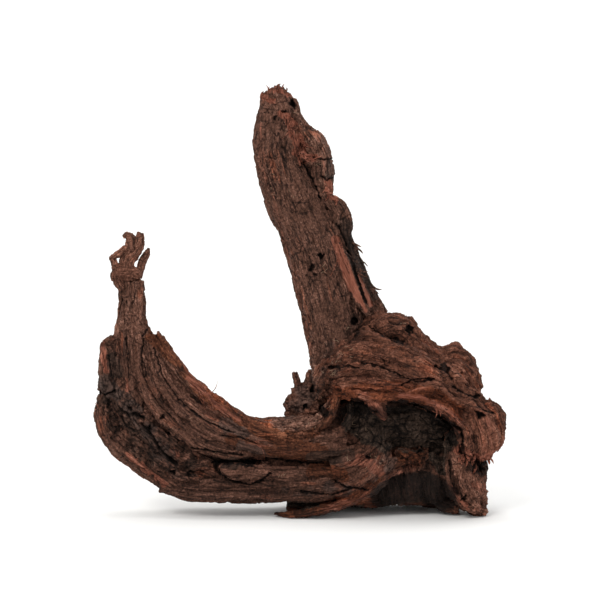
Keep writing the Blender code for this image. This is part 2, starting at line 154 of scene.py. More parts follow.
FINGERS = [
    (5, 0.6, [(-186, -3, 233, 4, 6), (-184, -3, 240, 6.5, 7.5), (-175, -3, 242, 7, 9),
        (-166, -3, 240, 6.5, 9), (-160, -3, 237, 3.5, 7)]),
    (4, 0.4, [(-176, -3, 225, 6, 8), (-181, -3, 233, 6.5, 7), (-184, -3, 243, 5.5, 6),
        (-186.5, -3, 251, 4, 4.8), (-189, -4, 258, 3.2, 3.8)]),
    (4, 0.3, [(-189.5, -5, 256, 2.6, 3), (-183, -6, 259.5, 2.8, 4), (-177, -5, 263.5, 3.2, 4),
        (-170, -3, 268, 3.4, 3.6)]),
    (5, 0.8, [(-172, -2, 232, 9, 8), (-174, -2, 245, 8, 7.5), (-173, -2, 254, 8, 7),
        (-167, -2, 262, 8.4, 6.5), (-162.4, -1, 270, 7.2, 5.6), (-161, 0, 277, 5.2, 5),
        (-160, 0, 282, 3.8, 3.4)]),
    (4, 0.3, [(-168, -3, 263, 5, 5), (-170, -4, 270, 4.8, 4.6), (-169.5, -4, 276, 5, 4.6),
        (-173.5, -5, 279, 3.4, 3.6), (-177, -5, 277, 2.4, 2.6)]),
    (4, 0.3, [(-163, 2, 236, 3.8, 4.6), (-161, 3, 245, 4.2, 4.6), (-158.5, 4, 253, 4.2, 4.4),
        (-155, 5, 260, 3.6, 3.8), (-152.5, 6, 266, 1.8, 2)]),
]

# The upright limb, and the split strip and plates on its right side.
UPRIGHT = [
    (9, 3.6, [(45, 8, 116, 31, 25), (42, 9, 146, 33.5, 27), (37, 10, 176, 33, 27), (31, 11, 198, 31.5, 27),
        (23, 12, 227, 31, 26), (14, 13, 256, 29.5, 26), (7, 14, 276, 28.5, 25), (-1.5, 15, 298, 28.5, 25),
        (-9.5, 16, 317, 28.5, 24), (-15.5, 16, 334, 27.5, 22), (-20.5, 17, 350, 26, 21),
        (-23.5, 17, 363, 26, 20), (-24, 17, 379, 25, 18), (-23, 18, 393, 23, 16), (-22.5, 18, 403, 22.5, 15),
        (-24, 18, 412, 20, 13), (-27, 18, 421, 16, 10), (-29.5, 19, 429, 10, 7)]),
    (4, 1, [(-5, 16, 400, 4, 10), (2, 15, 386, 7, 11), (12, 13, 372, 12, 11), (19, 12, 356, 12, 10),
        (21.5, 11, 339, 12, 9), (23, 11, 325, 10.5, 8), (26, 12, 314, 6, 6)]),
    (4, 1, [(26, 12, 317, 6, 8), (36, 13, 306, 11, 10), (41, 14, 294, 11.5, 10), (42, 14, 278, 10, 9),
        (46, 14, 264, 8, 8), (53, 14, 249, 8, 8), (61, 13, 235, 7.5, 7), (68, 12, 222, 7, 7),
        (75, 12, 209, 6, 6)]),
    (5, 1, [(27, 20, 318, 4, 5), (33, 21, 302, 10, 11), (40, 22, 280, 11, 12), (51, 22, 252, 11.5, 12),
        (64, 20, 222, 12, 12), (76, 16, 196, 13, 12)]),
    (4, 0.6, [(36, 0, 272, 3, 6), (44, -4, 254, 7, 8), (52, -6, 234, 8, 8), (60, -7, 214, 7, 8),
        (67, -8, 198, 3, 5)]),
    (4, 0.4, [(54, 4, 250, 2.5, 4), (61, 2, 230, 4, 6), (67, 1, 214, 4, 6), (71, 0, 202, 2, 4)]),
    # splinters that stand out where the top plate has torn away
    (3, 0.3, [(-1, 3, 362, 3, 4), (4, -1, 355, 4, 5), (11, 0, 350, 3, 4)]),
]

# The root block. Its core lies behind the hollow, and the hood hangs over it from the left to the right.
ROOT_CORE = [
    (9, 3, [(34, 14, 86, 36, 32), (64, 20, 90, 52, 39), (99, 24, 92, 58, 40), (139, 22, 92, 56, 38),
        (172, 16, 82, 36, 30)]),
    (7, 2.4, [(24, 8, 40, 28, 28), (64, 8, 32, 30, 32), (104, 8, 35, 28, 32), (144, 6, 33, 28, 32),
        (172, 4, 32, 22, 26)]),
]

HOOD = [
    (7, 2.6, [(51, 2, 159, 14, 16), (71, 2, 177, 19, 22), (96, 4, 182, 19, 26), (115, 6, 167, 17, 28),
        (136, 8, 150, 16.5, 28), (161, 8, 141, 18, 26), (171, 8, 121, 15, 22)]),
    (4, 1, [(143, 3, 152, 8, 12), (153, 2, 161, 10, 14), (164, 3, 156, 9, 12), (171, 6, 144, 8, 12)]),
    (4, 0.8, [(71, 6, 182, 13, 10), (77, 8, 194, 10, 8), (80, 10, 202, 6, 5), (86, 11, 201, 6, 5)]),
    (7, 3, [(19, -8, 124, 9, 14), (28, -14, 140, 15, 20), (49, -18, 150, 26, 26), (84, -22, 148, 30, 29),
        (119, -22, 135, 27, 29), (148, -18, 118, 24, 26), (176, -12, 98, 18, 21), (190, -10, 82, 12, 16),
        (193, -8, 69, 8, 9)]),
    # the lip over the hollow, with a drip hanging from it
    (5, 1.2, [(26, -20, 122, 6, 10), (47, -30, 125, 7, 15), (69, -35, 121, 8, 18), (91, -37, 122, 7, 19),
        (111, -38, 120, 7, 18), (131, -37, 114, 8, 17), (147, -36, 104, 9, 16), (158, -36, 91, 9, 14),
        (163, -36, 77, 9, 12), (168, -34, 64, 7, 9)]),
    (4, 0.4, [(70, -42, 120, 9, 9), (75, -45, 111, 6.5, 8), (80, -46, 104, 5, 6), (83, -46, 99, 2.5, 3)]),
    (4, 0.8, [(30, -26, 132, 8, 10), (50, -33, 135, 9, 14), (75, -37, 134, 10, 16), (100, -38, 132, 9, 16),
        (122, -37, 127, 8, 15), (140, -34, 119, 8, 14)]),
    # the fold above the lip, and the flap that hangs down on the right
    (4, 0.6, [(97, -44, 126, 3, 6), (114, -47, 131, 5, 8), (131, -46, 131, 6, 8), (149, -42, 120, 6, 8),
        (171, -34, 108, 6, 8), (188, -26, 99, 5, 7)]),
    (5, 1.6, [(165, -22, 114, 10, 12), (175, -29, 94, 16, 13), (180, -32, 76, 16, 12), (180, -32, 65, 13, 9),
        (179, -30, 58, 8, 7)]),
    (4, 1, [(182, -16, 111, 9, 10), (193, -18, 101, 10, 12), (195, -20, 84, 8, 10), (191, -22, 68, 6, 8)]),
    # bands of grain on top of the hood
    (3, 0.6, [(29, -20, 154, 4, 6), (45, -30, 165, 7, 9), (69, -36, 163, 7, 10), (97, -38, 155, 6, 9),
        (124, -36, 147, 4, 7)]),
    (3, 0.6, [(50, -20, 174, 5, 7), (64, -26, 179, 6, 8), (84, -28, 173, 6, 8), (109, -28, 165, 6, 8),
        (134, -24, 155, 4, 6)]),
    (3, 0.6, [(25, -34, 142, 4, 6), (44, -42, 148, 6, 8), (66, -46, 149, 6, 8), (92, -47, 143, 6, 8),
        (114, -46, 136, 4, 6)]),
]

# The feet: a front foot that curls up round the hollow, a sole under the limb, a right foot and the base.
FEET = [
    (6, 0.8, [(-28, -24, 2.6, 1.8, 4), (-13, -26, 2.8, 3.4, 9), (4, -28, 4.4, 4.8, 12), (24, -30, 9.5, 5, 14),
        (44, -31, 15, 5, 15), (61, -32, 23, 6, 15), (75, -32, 34, 7, 14), (86, -29, 45, 8, 13),
        (97, -24, 53, 8, 12), (110, -17, 57, 6, 9)]),
    (5, 0.8, [(-14, -2, 8, 5, 12), (0, 0, 8, 8, 15), (34, 4, 12, 9, 18), (69, 8, 16, 9, 18),
        (92, 8, 19, 8, 16)]),
    (6, 0.9, [(14, -22, 30, 10, 12), (34, -25, 30, 12, 14), (54, -28, 34, 13, 14), (70, -27, 46, 13, 13),
        (80, -22, 60, 11, 11), (84, -14, 72, 7, 8)]),
    (7, 1.2, [(30, -20, 48, 13, 13), (48, -22, 52, 14, 14), (64, -20, 62, 14, 13), (74, -14, 76, 13, 12),
        (78, -6, 90, 10, 9)]),
    (4, 0.8, [(97, -18, 62, 6, 8), (107, -21, 58, 8, 9), (118, -19, 55, 7, 9), (128, -14, 60, 5, 7)]),
    (5, 0.6, [(33, -22, 84, 5, 7), (44, -24, 90, 5, 7), (48, -22, 99, 5, 7), (49, -16, 110, 4, 6)]),
    (7, 2, [(148, -12, 84, 7, 10), (153, -18, 68, 12, 16), (158, -21, 48, 18, 20), (163, -21, 28, 20, 22),
        (171, -18, 13, 14, 16), (180, -15, 1, 6, 9)]),
    (5, 1.2, [(178, 2, 72, 9, 18), (178.5, 2, 44, 8.5, 20), (177, 2, 22, 8.5, 18), (168, 2, 8, 8, 12)]),
    (3, 0.4, [(146, -28, 66, 3, 5), (146, -36, 44, 4, 6), (150, -39, 26, 4, 6), (160, -37, 13, 4, 6),
        (172, -30, 8, 3, 4)]),
    (5, 1, [(124, -6, 26, 6, 12), (142, -10, 11, 8, 14), (159, -12, 7, 7, 12)]),
    # the base under the hollow, where the grain runs upright, and the crumbled ridge above it
    (5, 1, [(84, -16, 56, 9, 9), (88, -20, 40, 11, 9), (90, -21, 24, 13, 9), (90, -18, 12, 12, 8)]),
    (5, 1.2, [(106, -18, 62, 10, 8), (109, -21, 44, 12, 9), (111, -22, 28, 14, 9), (112, -18, 16, 13, 8)]),
    (5, 1.2, [(126, -16, 62, 9, 8), (130, -20, 44, 11, 9), (132, -21, 28, 13, 9), (136, -17, 16, 12, 8)]),
    (4, 0.8, [(94, -24, 66, 4, 5), (104, -27, 61, 7, 6), (113, -26, 61, 7, 6), (123, -22, 58, 4, 5)]),
    (4, 0.8, [(116, -20, 68, 3, 4), (121, -25, 60, 6, 6), (120, -25, 50, 6, 6), (112, -20, 44, 3, 4)]),
]

STUB = [
    (7, 1.6, [(29, 20, 104, 20, 16), (10, 22, 106, 18, 18), (-5, 24, 106, 13.5, 15),
        (-16, 24, 101, 8.5, 9)]),
    (5, 1, [(17, 20, 118, 16, 13), (3, 22, 119, 11, 12), (-8, 24, 116, 7, 8)]),
    (5, 1, [(14, 24, 90, 12, 12), (-4, 24, 93, 10, 12), (-17, 22, 93, 7, 8)]),
    (4, 0.6, [(14, 20, 122, 11, 9), (12, 20, 133, 9, 8), (13, 20, 142, 6, 5)]),
    (4, 0.4, [(0, 24, 118, 6, 7), (-4, 24, 129, 4.5, 5), (-7, 24, 139, 2.4, 3)]),
]

# The back: the upright's grain spreads into buttresses, and the left limb's grain runs into the block.
BACK = [
    (9, 3, [(30, 18, 206, 20, 12), (38, 26, 166, 26, 16), (50, 36, 116, 32, 20), (60, 42, 66, 36, 21),
        (63, 44, 30, 32, 19), (60, 45, -5, 17, 12)]),
    (9, 3, [(66, 16, 186, 14, 12), (90, 26, 164, 24, 18), (113, 36, 126, 28, 20), (134, 41, 84, 31, 20),
        (141, 38, 40, 27, 18), (138, 34, -5, 15, 10)]),
    (7, 2.6, [(-16, 20, 62, 12, 8), (9, 28, 62, 22, 14), (44, 38, 62, 26, 18), (84, 44, 64, 26, 18),
        (129, 46, 68, 18, 12)]),
    (7, 2.6, [(137, 18, 148, 14, 16), (161, 22, 124, 20, 20), (177, 20, 88, 15, 15), (178, 14, 52, 9, 14)]),
    (6, 2, [(40, 14, 174, 14, 10), (64, 20, 178, 18, 14), (100, 22, 166, 18, 16), (140, 18, 148, 14, 14)]),
    (6, 1.6, [(34, 36, 58, 16, 14), (16, 35, 30, 15, 13), (6, 33, -5, 9, 9)]),
    # the mass that joins the buttresses just above the floor
    (6, 1.6, [(2, 30, 24, 8, 8), (30, 40, 21, 12, 12), (62, 46, 24, 13, 13), (100, 44, 22, 13, 14),
        (134, 38, 24, 12, 12), (164, 26, 28, 8, 10)]),
    (5, 1.2, [(18, 46, 40, 5, 6), (44, 55, 34, 8, 7), (78, 57, 38, 8, 7), (110, 56, 32, 7, 7),
        (138, 50, 40, 4, 6)]),
]

# Low roots that flare out between the buttresses of the back.
FLARE = [
    (5, 1.2, [(-16, 30, 38, 7, 8), (-10, 33, 24, 10, 9), (-2, 34, 11, 12, 9), (4, 33, 2, 7, 7)]),
    (5, 1.4, [(14, 34, 44, 8, 9), (20, 38, 26, 11, 10), (30, 40, 12, 12, 9), (40, 42, 2, 8, 6)]),
    (5, 1.4, [(52, 44, 40, 9, 10), (46, 48, 22, 12, 10), (38, 46, 8, 12, 8), (34, 42, 1, 6, 5)]),
    (5, 1.4, [(84, 46, 44, 10, 10), (86, 48, 26, 14, 11), (80, 48, 12, 15, 9), (76, 46, 4, 10, 6)]),
    (5, 1.4, [(112, 46, 42, 10, 10), (108, 48, 24, 13, 10), (114, 46, 11, 14, 9), (120, 42, 3, 10, 6)]),
    (5, 1.4, [(156, 34, 46, 9, 10), (158, 34, 26, 12, 11), (154, 32, 11, 12, 9), (152, 30, 2, 8, 6)]),
]

# Marks drawn in the view from the front: half width, strength, and the x and z of each point of a path.
MARKS = {
    "fresh": [
        (1.4, 0.4, -41, 390, -40, 350, -26, 306, -12, 252, 2, 200, 9, 160),
        (1.8, 0.9, -11, 392, -8, 378, -3, 366), (1.6, 0.9, -1, 378, 2, 366, 6, 354),
        (2.6, 0.9, -20, 400, -12, 396, -8, 390), (3, 0.7, -38, 424, -30, 430, -16, 428, -8, 422),
        (3, 0.8, -36, 418, -30, 414), (3, 0.8, -4, 362, 4, 354, 12, 356), (4, 0.7, 28, 330, 33, 318),
        (2.6, 0.9, -199, 172, -196, 160, -192, 146), (1.6, 0.6, -174, 136, -172, 126),
        (2.2, 0.6, -122, 162, -104, 134, -84, 112, -62, 98), (1.8, 0.7, -112, 138, -100, 124),
        (3, 0.35, -66, 82, -40, 72, -10, 65), (2.2, 0.7, -171, 62, -152, 46, -134, 34),
        (3, 0.5, -140, 70, -124, 62), (5, 0.55, 46, 60, 64, 56, 76, 50), (5, 0.45, 92, 42, 100, 46, 108, 48),
        (3.6, 1, 156, 68, 168, 61, 177, 55, 187, 61, 198, 66), (4, 0.55, 62, 122, 74, 112, 82, 100),
        (2.4, 0.6, 96, 124, 116, 122, 136, 112, 158, 96), (8, 0.35, 50, 136, 80, 130, 100, 132, 124, 136),
        (7, 0.3, 34, 166, 60, 162, 90, 156), (3, 0.5, 172, 34, 186, 26, 192, 16),
        (8, 0.42, 174, 104, 182, 86, 184, 68), (2, 0.7, 146, 34, 152, 22, 164, 12),
        (3, 0.5, 24, 10, 52, 18, 76, 32, 92, 44), (2, 0.4, -44, 176, -40, 150),
    ],
    "rusty": [
        (5, 0.7, -148, 178, -126, 158, -104, 134, -84, 114, -60, 99),
        (6, 0.9, -101, 130, -83, 116, -43, 90, -4, 71, 20, 66), (4, 0.9, -69, 78, -30, 66, 6, 59),
        (5, 0.9, 12, 46, 26, 48, 40, 44), (4, 0.6, -20, 82, 10, 84, 26, 96, 30, 112),
        (8, 0.8, 34, 118, 60, 126, 96, 128, 124, 122, 150, 106), (9, 0.4, 40, 160, 70, 166, 104, 158),
        (12, 0.3, 174, 104, 182, 86, 182, 68), (8, 0.7, 100, 58, 116, 60),
        (10, 0.25, 156, 44, 164, 28, 176, 12), (4, 0.8, -20, 5, 24, 12, 60, 24, 84, 44),
    ],
    "peeled": [
        (3.6, 1, 34, 275, 38, 262, 43, 247, 48, 236), (5, 1, 41, 256, 47, 238, 52, 226),
        (4, 1, 52, 226, 58, 215), (2, 1, 58, 215, 64, 204), (1, 1, 58, 239, 62, 230),
        (2, 1, 62, 230, 66, 220, 70, 209),
    ],
    # Charred wood; the last path lays charcoal over the base under the hollow as painted shade.
    "charred_and_shade": [
        (12, 0.55, -191, 122, -176, 104, -156, 84, -136, 66, -116, 52),
        (6, 0.5, -186, 96, -168, 76, -150, 58), (5, 1, 46, 288, 54, 264, 62, 240, 72, 218),
        (6, 0.5, 40, 292, 46, 280), (4, 0.9, -188, 158, -184, 142), (3, 0.7, -84, 55, -50, 55),
        (4.5, 1, 11, 60, 28, 60, 48, 62), (4, 0.35, -16, 300, 10, 262, 16, 240),
        (13, 0.9, 84, 22, 104, 28, 126, 28, 137, 20),
    ],
    # Painted shade under the lip and the flap, over the base under the hollow, in a dark hole at the hollow's
    # left end, over the crumbled ridge's rim, along the right foot's left edge and along the slit at the
    # bottom. The other paths darken the knot's ring, the dark strip on the upright, the lower limb, a ridge
    # on it and a streak above the stub.
    "shade_and_dark_wood": [
        (12, 0.86, 84, 20, 96, 28, 112, 30, 128, 28, 137, 18),
        (4.5, 0.85, 56, 106, 66, 108, 84, 106, 100, 110, 124, 107, 140, 98, 150, 84),
        (4, 0.7, 40, 96, 42, 112), (6, 0.5, 54, 193, 56, 184, 50, 180), (4, 0.4, 98, 52, 112, 49, 126, 48),
        (3, 0.45, 47, 284, 55, 264, 63, 244, 71, 222), (4, 0.8, 168, 53, 176, 49, 183, 44),
        (2, 0.5, 146, 66, 147, 44, 150, 26), (2.2, 0.7, -4, 6, 14, 5, 34, 4),
        (14, 0.24, -140, 44, -100, 28, -60, 22, -20, 22, 20, 30), (6, 0.14, -70, 80, -30, 68, 0, 62),
        (4, 0.4, 30, 158, 22, 128, 16, 112),
    ],
    "slate": [
        (6, 0.9, -196, 134, -188, 126), (6, 0.6, -180, 120, -164, 104, -150, 84, -138, 66, -126, 56),
        (6, 0.5, 26, 374, 30, 358), (5, 0.6, 32, 350, 30, 338), (4.5, 0.8, -76, 93, -66, 88, -57, 84),
        (3.5, 0.7, -60, 72, -50, 70, -40, 66), (9, 0.6, -12, 106, 2, 114, 12, 130), (6, 0.5, 28, 30, 44, 28),
        (6, 0.42, 60, 38, 74, 50, 82, 62), (5, 0.6, 78, 28, 84, 42, 90, 54), (4, 0.4, -20, 26, 30, 30),
        (8, 0.4, 30, 164, 26, 140),
    ],
    "crumbled": [
        (15, 1, -191, 122, -176, 104, -156, 84, -136, 66, -116, 52), (9, 0.9, -186, 96, -168, 76, -150, 58),
        (10, 0.8, 56, 90, 62, 76, 64, 66), (12, 1, 92, 60, 108, 58, 122, 60), (8, 0.5, 60, 52, 72, 62),
        (16, 0.8, -6, 92, 8, 104, 14, 118), (12, 0.6, 28, 160, 20, 128, 14, 110),
        (16, 0.5, 148, 66, 156, 44, 170, 26, 184, 8), (12, 0.4, 170, 84, 176, 68), (8, 0.4, 40, 34, 0, 26),
    ],
    "lifted": [
        (16, 1, -170, 192, -169, 236, -166, 276), (8, 1, -184, 244, -152, 262),
        (12, 0.7, -158, 172, -140, 160, -110, 128, -76, 104, -50, 92), (10, 0.8, 20, 372, 30, 350, 32, 336),
        (12, 0.6, -30, 420, -24, 404, -10, 392),
        (22, 0.8, 34, 140, 60, 144, 100, 146, 140, 130, 176, 106, 190, 84),
        (16, 0.6, 60, 176, 90, 178, 130, 164, 160, 150), (16, 1.7, 172, 94, 180, 72),
        (12, 1.55, 150, 58, 156, 42, 166, 26, 178, 12), (6, 1.7, 78, 30, 84, 42, 88, 54),
        (14, 2.6, -14, 92, 4, 110, 8, 130), (8, 0.7, 70, 70, 66, 50, 84, 60),
    ],
    # The hollow's bark; the last path lays it along the slit near the floor as painted shade.
    "hollow": [
        (15, 1, 60, 98, 72, 90, 86, 88, 108, 90, 130, 88, 148, 92), (10, 0.8, 84, 78, 112, 80, 140, 78),
        (7, 0.7, 136, 62, 142, 50), (3, 0.7, -18, 12, 10, 12, 30, 4, 60, 6),
    ],
    "raised": [
        (6, 1, 10, 368, 18, 376, 28, 366, 26, 358, 10, 356), (5, 0.9, 26, 350, 30, 344),
        (4.4, 0.8, -75, 93, -66, 88, -58, 85), (3.4, 0.7, -59, 72, -50, 70, -41, 66),
        (5.6, 1, -76, 47, -66, 44, -50, 42, -36, 46), (4.2, 0.6, 12, 60, 28, 60, 47, 62),
        (8, 0.5, -188, 138, -184, 118), (6, 0.6, 58, 144, 80, 146, 100, 140),
        (2.4, 1.6, 148, 64, 153, 46, 160, 30, 170, 14, 182, 5),
        (2.6, 1.4, 160, 20, 170, 26, 180, 24, 186, 14), (2, 1, 164, 44, 174, 36, 182, 38),
        (6, 1.6, 145, 152, 154, 146, 160, 138),
    ],
}

# Cracks: half width, depth, and the x and z of each point of a path.
CRACKS = [
    (1.3, 6, 3, 352, 8, 340, 12, 333), (0.6, 4, 11, 335, 15, 326, 20, 315),
    (0.8, 2, 34, 276, 40, 256, 48, 240), (1.7, 7, 47, 262, 53, 246, 58, 232, 65, 212),
    (1.3, 4, 36, 290, 42, 278, 46, 268), (0.9, 4, 13, 356, 22, 354, 34, 355),
    (0.9, 4, 20, 338, 26, 334, 34, 337), (0.7, 2, -34, 357, -24, 355),
    (1.1, 5, -204, 123, -194, 121, -184, 125), (0.9, 3, -153, 185, -157, 179),
    (1.6, 6, -87, 54, -68, 55, -48, 53), (0.8, 5, -48, 54, -30, 57, -14, 55, 2, 53, 22, 53),
    (1.3, 5, -86, 51, -81, 43, -68, 37, -50, 33, -40, 37, -30, 45), (1, 4, 33, 38, 44, 32, 56, 30, 66, 30),
    (0.7, 3, -78, 82, -60, 80, -42, 74), (0.6, 3, -158, 152, -152, 132, -138, 110, -122, 96),
    (0.8, 3, -174, 178, -171, 150, -170, 136), (0.8, 3, -146, 168, -138, 142, -122, 118, -98, 98, -66, 84),
    (0.8, 3, -156, 176, -158, 160, -152, 140), (1, 4, -134, 84, -110, 70, -86, 66, -58, 62),
    (1.5, 5, -158, 92, -146, 78, -140, 66, -128, 54), (1.6, 5, -166, 102, -156, 98),
    (1.8, 6, -136, 62, -124, 52), (1.4, 4, -180, 108, -170, 100), (1, 4, 27, 150, 44, 152, 56, 151),
    (0.8, 4, 58, 156, 76, 152, 96, 144, 112, 137, 126, 138), (0.7, 3, 68, 188, 84, 178, 102, 174),
    (0.9, 4, 98, 134, 112, 140, 126, 140), (1.2, 5, 132, 152, 142, 146, 148, 138),
    (1.1, 4, 150, 132, 164, 122, 176, 120), (0.9, 3, 168, 118, 178, 108, 190, 104),
    (0.7, 3, 78, 160, 84, 152), (1.2, 4, 146, 58, 148, 40, 154, 26), (1, 4, 0, 27, 30, 24, 50, 30),
    (1, 3, -190, 160, -188, 140), (1.6, 7, 146, 94, 156, 89, 158, 78, 158, 66, 167, 57, 176, 52, 186, 51),
    (1.6, 7, 40, 113, 51, 119, 63, 113, 72, 107), (1.8, 8, 86, 115, 98, 116, 115, 111, 136, 102, 147, 93),
]

# Holes and pits: x, z, their two radii, the turn of the first in radians, and a depth.
HOLES = [
    (-8, 410, 3.2, 5.4, 0.5, 9), (-18, 402.5, 3, 1.3, -0.1, 4), (-26, 395, 2.2, 2.6, 0.7, 3),
    (56, 182, 4, 1.6, 0.5, 4), (20.5, 259, 3.2, 2.4, 0.2, 8), (11, 247, 2.4, 3.4, -0.4, 5),
    (14, 240, 1.4, 1.8, 0.3, 4), (109, 185.5, 5.2, 2.4, -0.5, 6), (126.5, 138, 3.2, 2.2, -0.4, 6),
    (141, 148, 5.6, 2, -0.8, 5), (175, 103, 4.6, 3, -0.3, 7), (-83.5, 50, 2.6, 4.4, 0, 7),
    (-170, 108, 4, 2, -0.7, 5), (-150, 88, 3, 1.8, -0.9, 5), (-137, 100, 2.2, 1.8, -0.5, 4),
    (-126, 46, 4.4, 2, -0.5, 6), (-110, 44, 3.2, 1.6, 0.1, 5), (23, 105, 4.2, 4.6, 0.5, 9),
    (4, 106, 3.2, 2.2, 0.6, 6), (12, 124, 3, 3.6, 0.2, 7), (146, 76, 3.6, 4, 0, 6),
    (161, 22, 3.4, 2.6, 0.6, 5), (118, 66, 3, 2, 0.3, 4), (104, 50, 3.4, 1.8, -0.4, 4),
    (68, 60, 3, 1.4, 0.4, 3), (176, 48, 8, 3.6, -0.3, 7),
]


# The knot in the upright limb: x, z, the radius of its hole and of the ring round it, and the hole's depth.
KNOT = (53.5, 193.5, 4.6, 7.2, 10)

# The broken tip of the upright limb: where its ragged crown begins and where it is fully ragged.
CROWN = (408, 426)

# Colours of the wood, each as its place from dark to light and its red, green and blue.
BROWN = [
    (0.00, (0.008, 0.0042, 0.0028)),
    (0.22, (0.036, 0.0166, 0.0105)),
    (0.46, (0.082, 0.0370, 0.0240)),
    (0.66, (0.130, 0.0590, 0.0400)),
    (0.84, (0.200, 0.0940, 0.0640)),
    (1.00, (0.340, 0.1750, 0.1250)),
]
ORANGE = [
    (0.00, (0.045, 0.0145, 0.0095)),
    (0.40, (0.170, 0.0530, 0.0320)),
    (0.75, (0.300, 0.1050, 0.0660)),
    (1.00, (0.460, 0.2050, 0.1400)),
]
COAL = [
    (0.00, (0.006, 0.0042, 0.0032)),
    (0.42, (0.042, 0.0245, 0.0178)),
    (0.72, (0.100, 0.0570, 0.0420)),
    (1.00, (0.190, 0.1140, 0.0870)),
]
SLATE = [
    (0.20, (0.046, 0.0295, 0.0240)),
    (0.60, (0.096, 0.0610, 0.0500)),
    (1.00, (0.175, 0.1180, 0.0980)),
]
BARK = [
    (0.00, (0.003, 0.0021, 0.0014)),
    (0.30, (0.024, 0.0150, 0.0103)),
    (0.60, (0.056, 0.0345, 0.0245)),
    (1.00, (0.150, 0.1000, 0.0750)),
]
STRAW = (0.34, 0.23, 0.15)
# Near-black painted shade: in the slits and hairline cracks of the material, then in the cut cracks, holes
# and crevices and under the drawn shade marks, a few of which darken the wood's own colour.
SHADE_IN_GAPS = (0.005, 0.0028, 0.0019)
SHADE_AND_DARKENING_COLOUR = (0.003, 0.0018, 0.0013)
SPECULAR = 0.14
BUMP_DEPTH = 0.0011  # metres

# The studio, in metres. The backdrop: half its width, its front edge, its wall, its height, the radius of its
# bend and how far its floor lies below the wood.
BACKDROP = (3.0, -3.0, 1.6, 3.0, 0.8, 0.0001)
BEND_STEPS = 24
PAPER = (0.90, 0.90, 0.89)
PAPER_ROUGHNESS = 0.9

# Each light: name, place, size, power and colour. All of them point at the same place.
LIGHTS = [
    ("key", (-1.1, -1.9, 1.9), (1.1, 0.9), 36, (1.0, 0.98, 0.95)),
    ("fill", (1.8, -1.6, 0.9), (1.4, 1.4), 9, (0.97, 0.98, 1.0)),
    ("top", (0.1, 0.3, 2.2), (1.6, 1.2), 18, (1.0, 1.0, 1.0)),
]
LIT = (0, 0, 0.17)
WORLD_STRENGTH = 0.72

# The camera: lens and sensor in millimetres, how far it looks down in degrees, and in drawing units the width
# that it sees and the middle of the picture.
LENS, SENSOR, DOWN, SEEN = 100, 36, 3, 600
CENTRE = (-1, 0, 214)

# How each part of the wood is weathered: height of the bundles, cords and fibres of its grain, how far the
# grain wanders, the height of its lumps, how rough it is, the depth of its chips, how pitted, warm and pale
# it is, and how often it is smoothed where its strands meet.
TRAITS = ("bundles", "cords", "fibres", "wander", "lumps", "rough", "chips", "pitted", "warm", "pale", "melt")
STYLES = {
    "limb": (1.5, 0.8, 0.5, 5, 0.9, 0.4, 0.9, 0.6, 0.12, 0.9, 3),
    "upright": (0.6, 0.6, 0.5, 3, 0.8, 0.45, 1, 0.9, 0, 1, 3),
    "gnarled": (0.8, 0.55, 0.45, 10, 2.3, 0.85, 0.9, 0.5, 1, 0.35, 3),
    "core": (1, 0.6, 0.45, 7, 1.5, 0.7, 0.7, 0.5, 0.4, 0.35, 3),
    "block": (1.2, 0.6, 0.45, 9, 2, 0.7, 0.9, 0.6, 0.3, 0.5, 12),
    "twig": (0.3, 0.5, 0.4, 1.5, 1, 0.7, 0.4, 0.6, 0.6, 0.9, 3),
}

# Creases of the grain: the trait that gives their height, how long and how far apart they are, the noise's
# seed, their width and how much of the height lies below the surface.
CREASES = [
    ("bundles", 150, 11, 5, 0.22, 0.8),
    ("cords", 80, 4.8, 6, 0.26, 0.75),
    ("fibres", 34, 2.3, 7, 0.33, 0.7),
]

# Each piece: name, strands, style, voxel size and most triangles.
PIECES = [
    ("left_limb", LEFT_LIMB, "limb", 1.05, 190000),
    ("twigs", FINGERS, "twig", 0.5, 50000),
    ("upright_limb", UPRIGHT, "upright", 1.0, 190000),
    ("root_block", ROOT_CORE + BACK + FLARE, "block", 1.2, 170000),
    ("hood", HOOD, "gnarled", 1.0, 190000),
    ("feet", FEET + STUB, "core", 0.9, 150000),
]

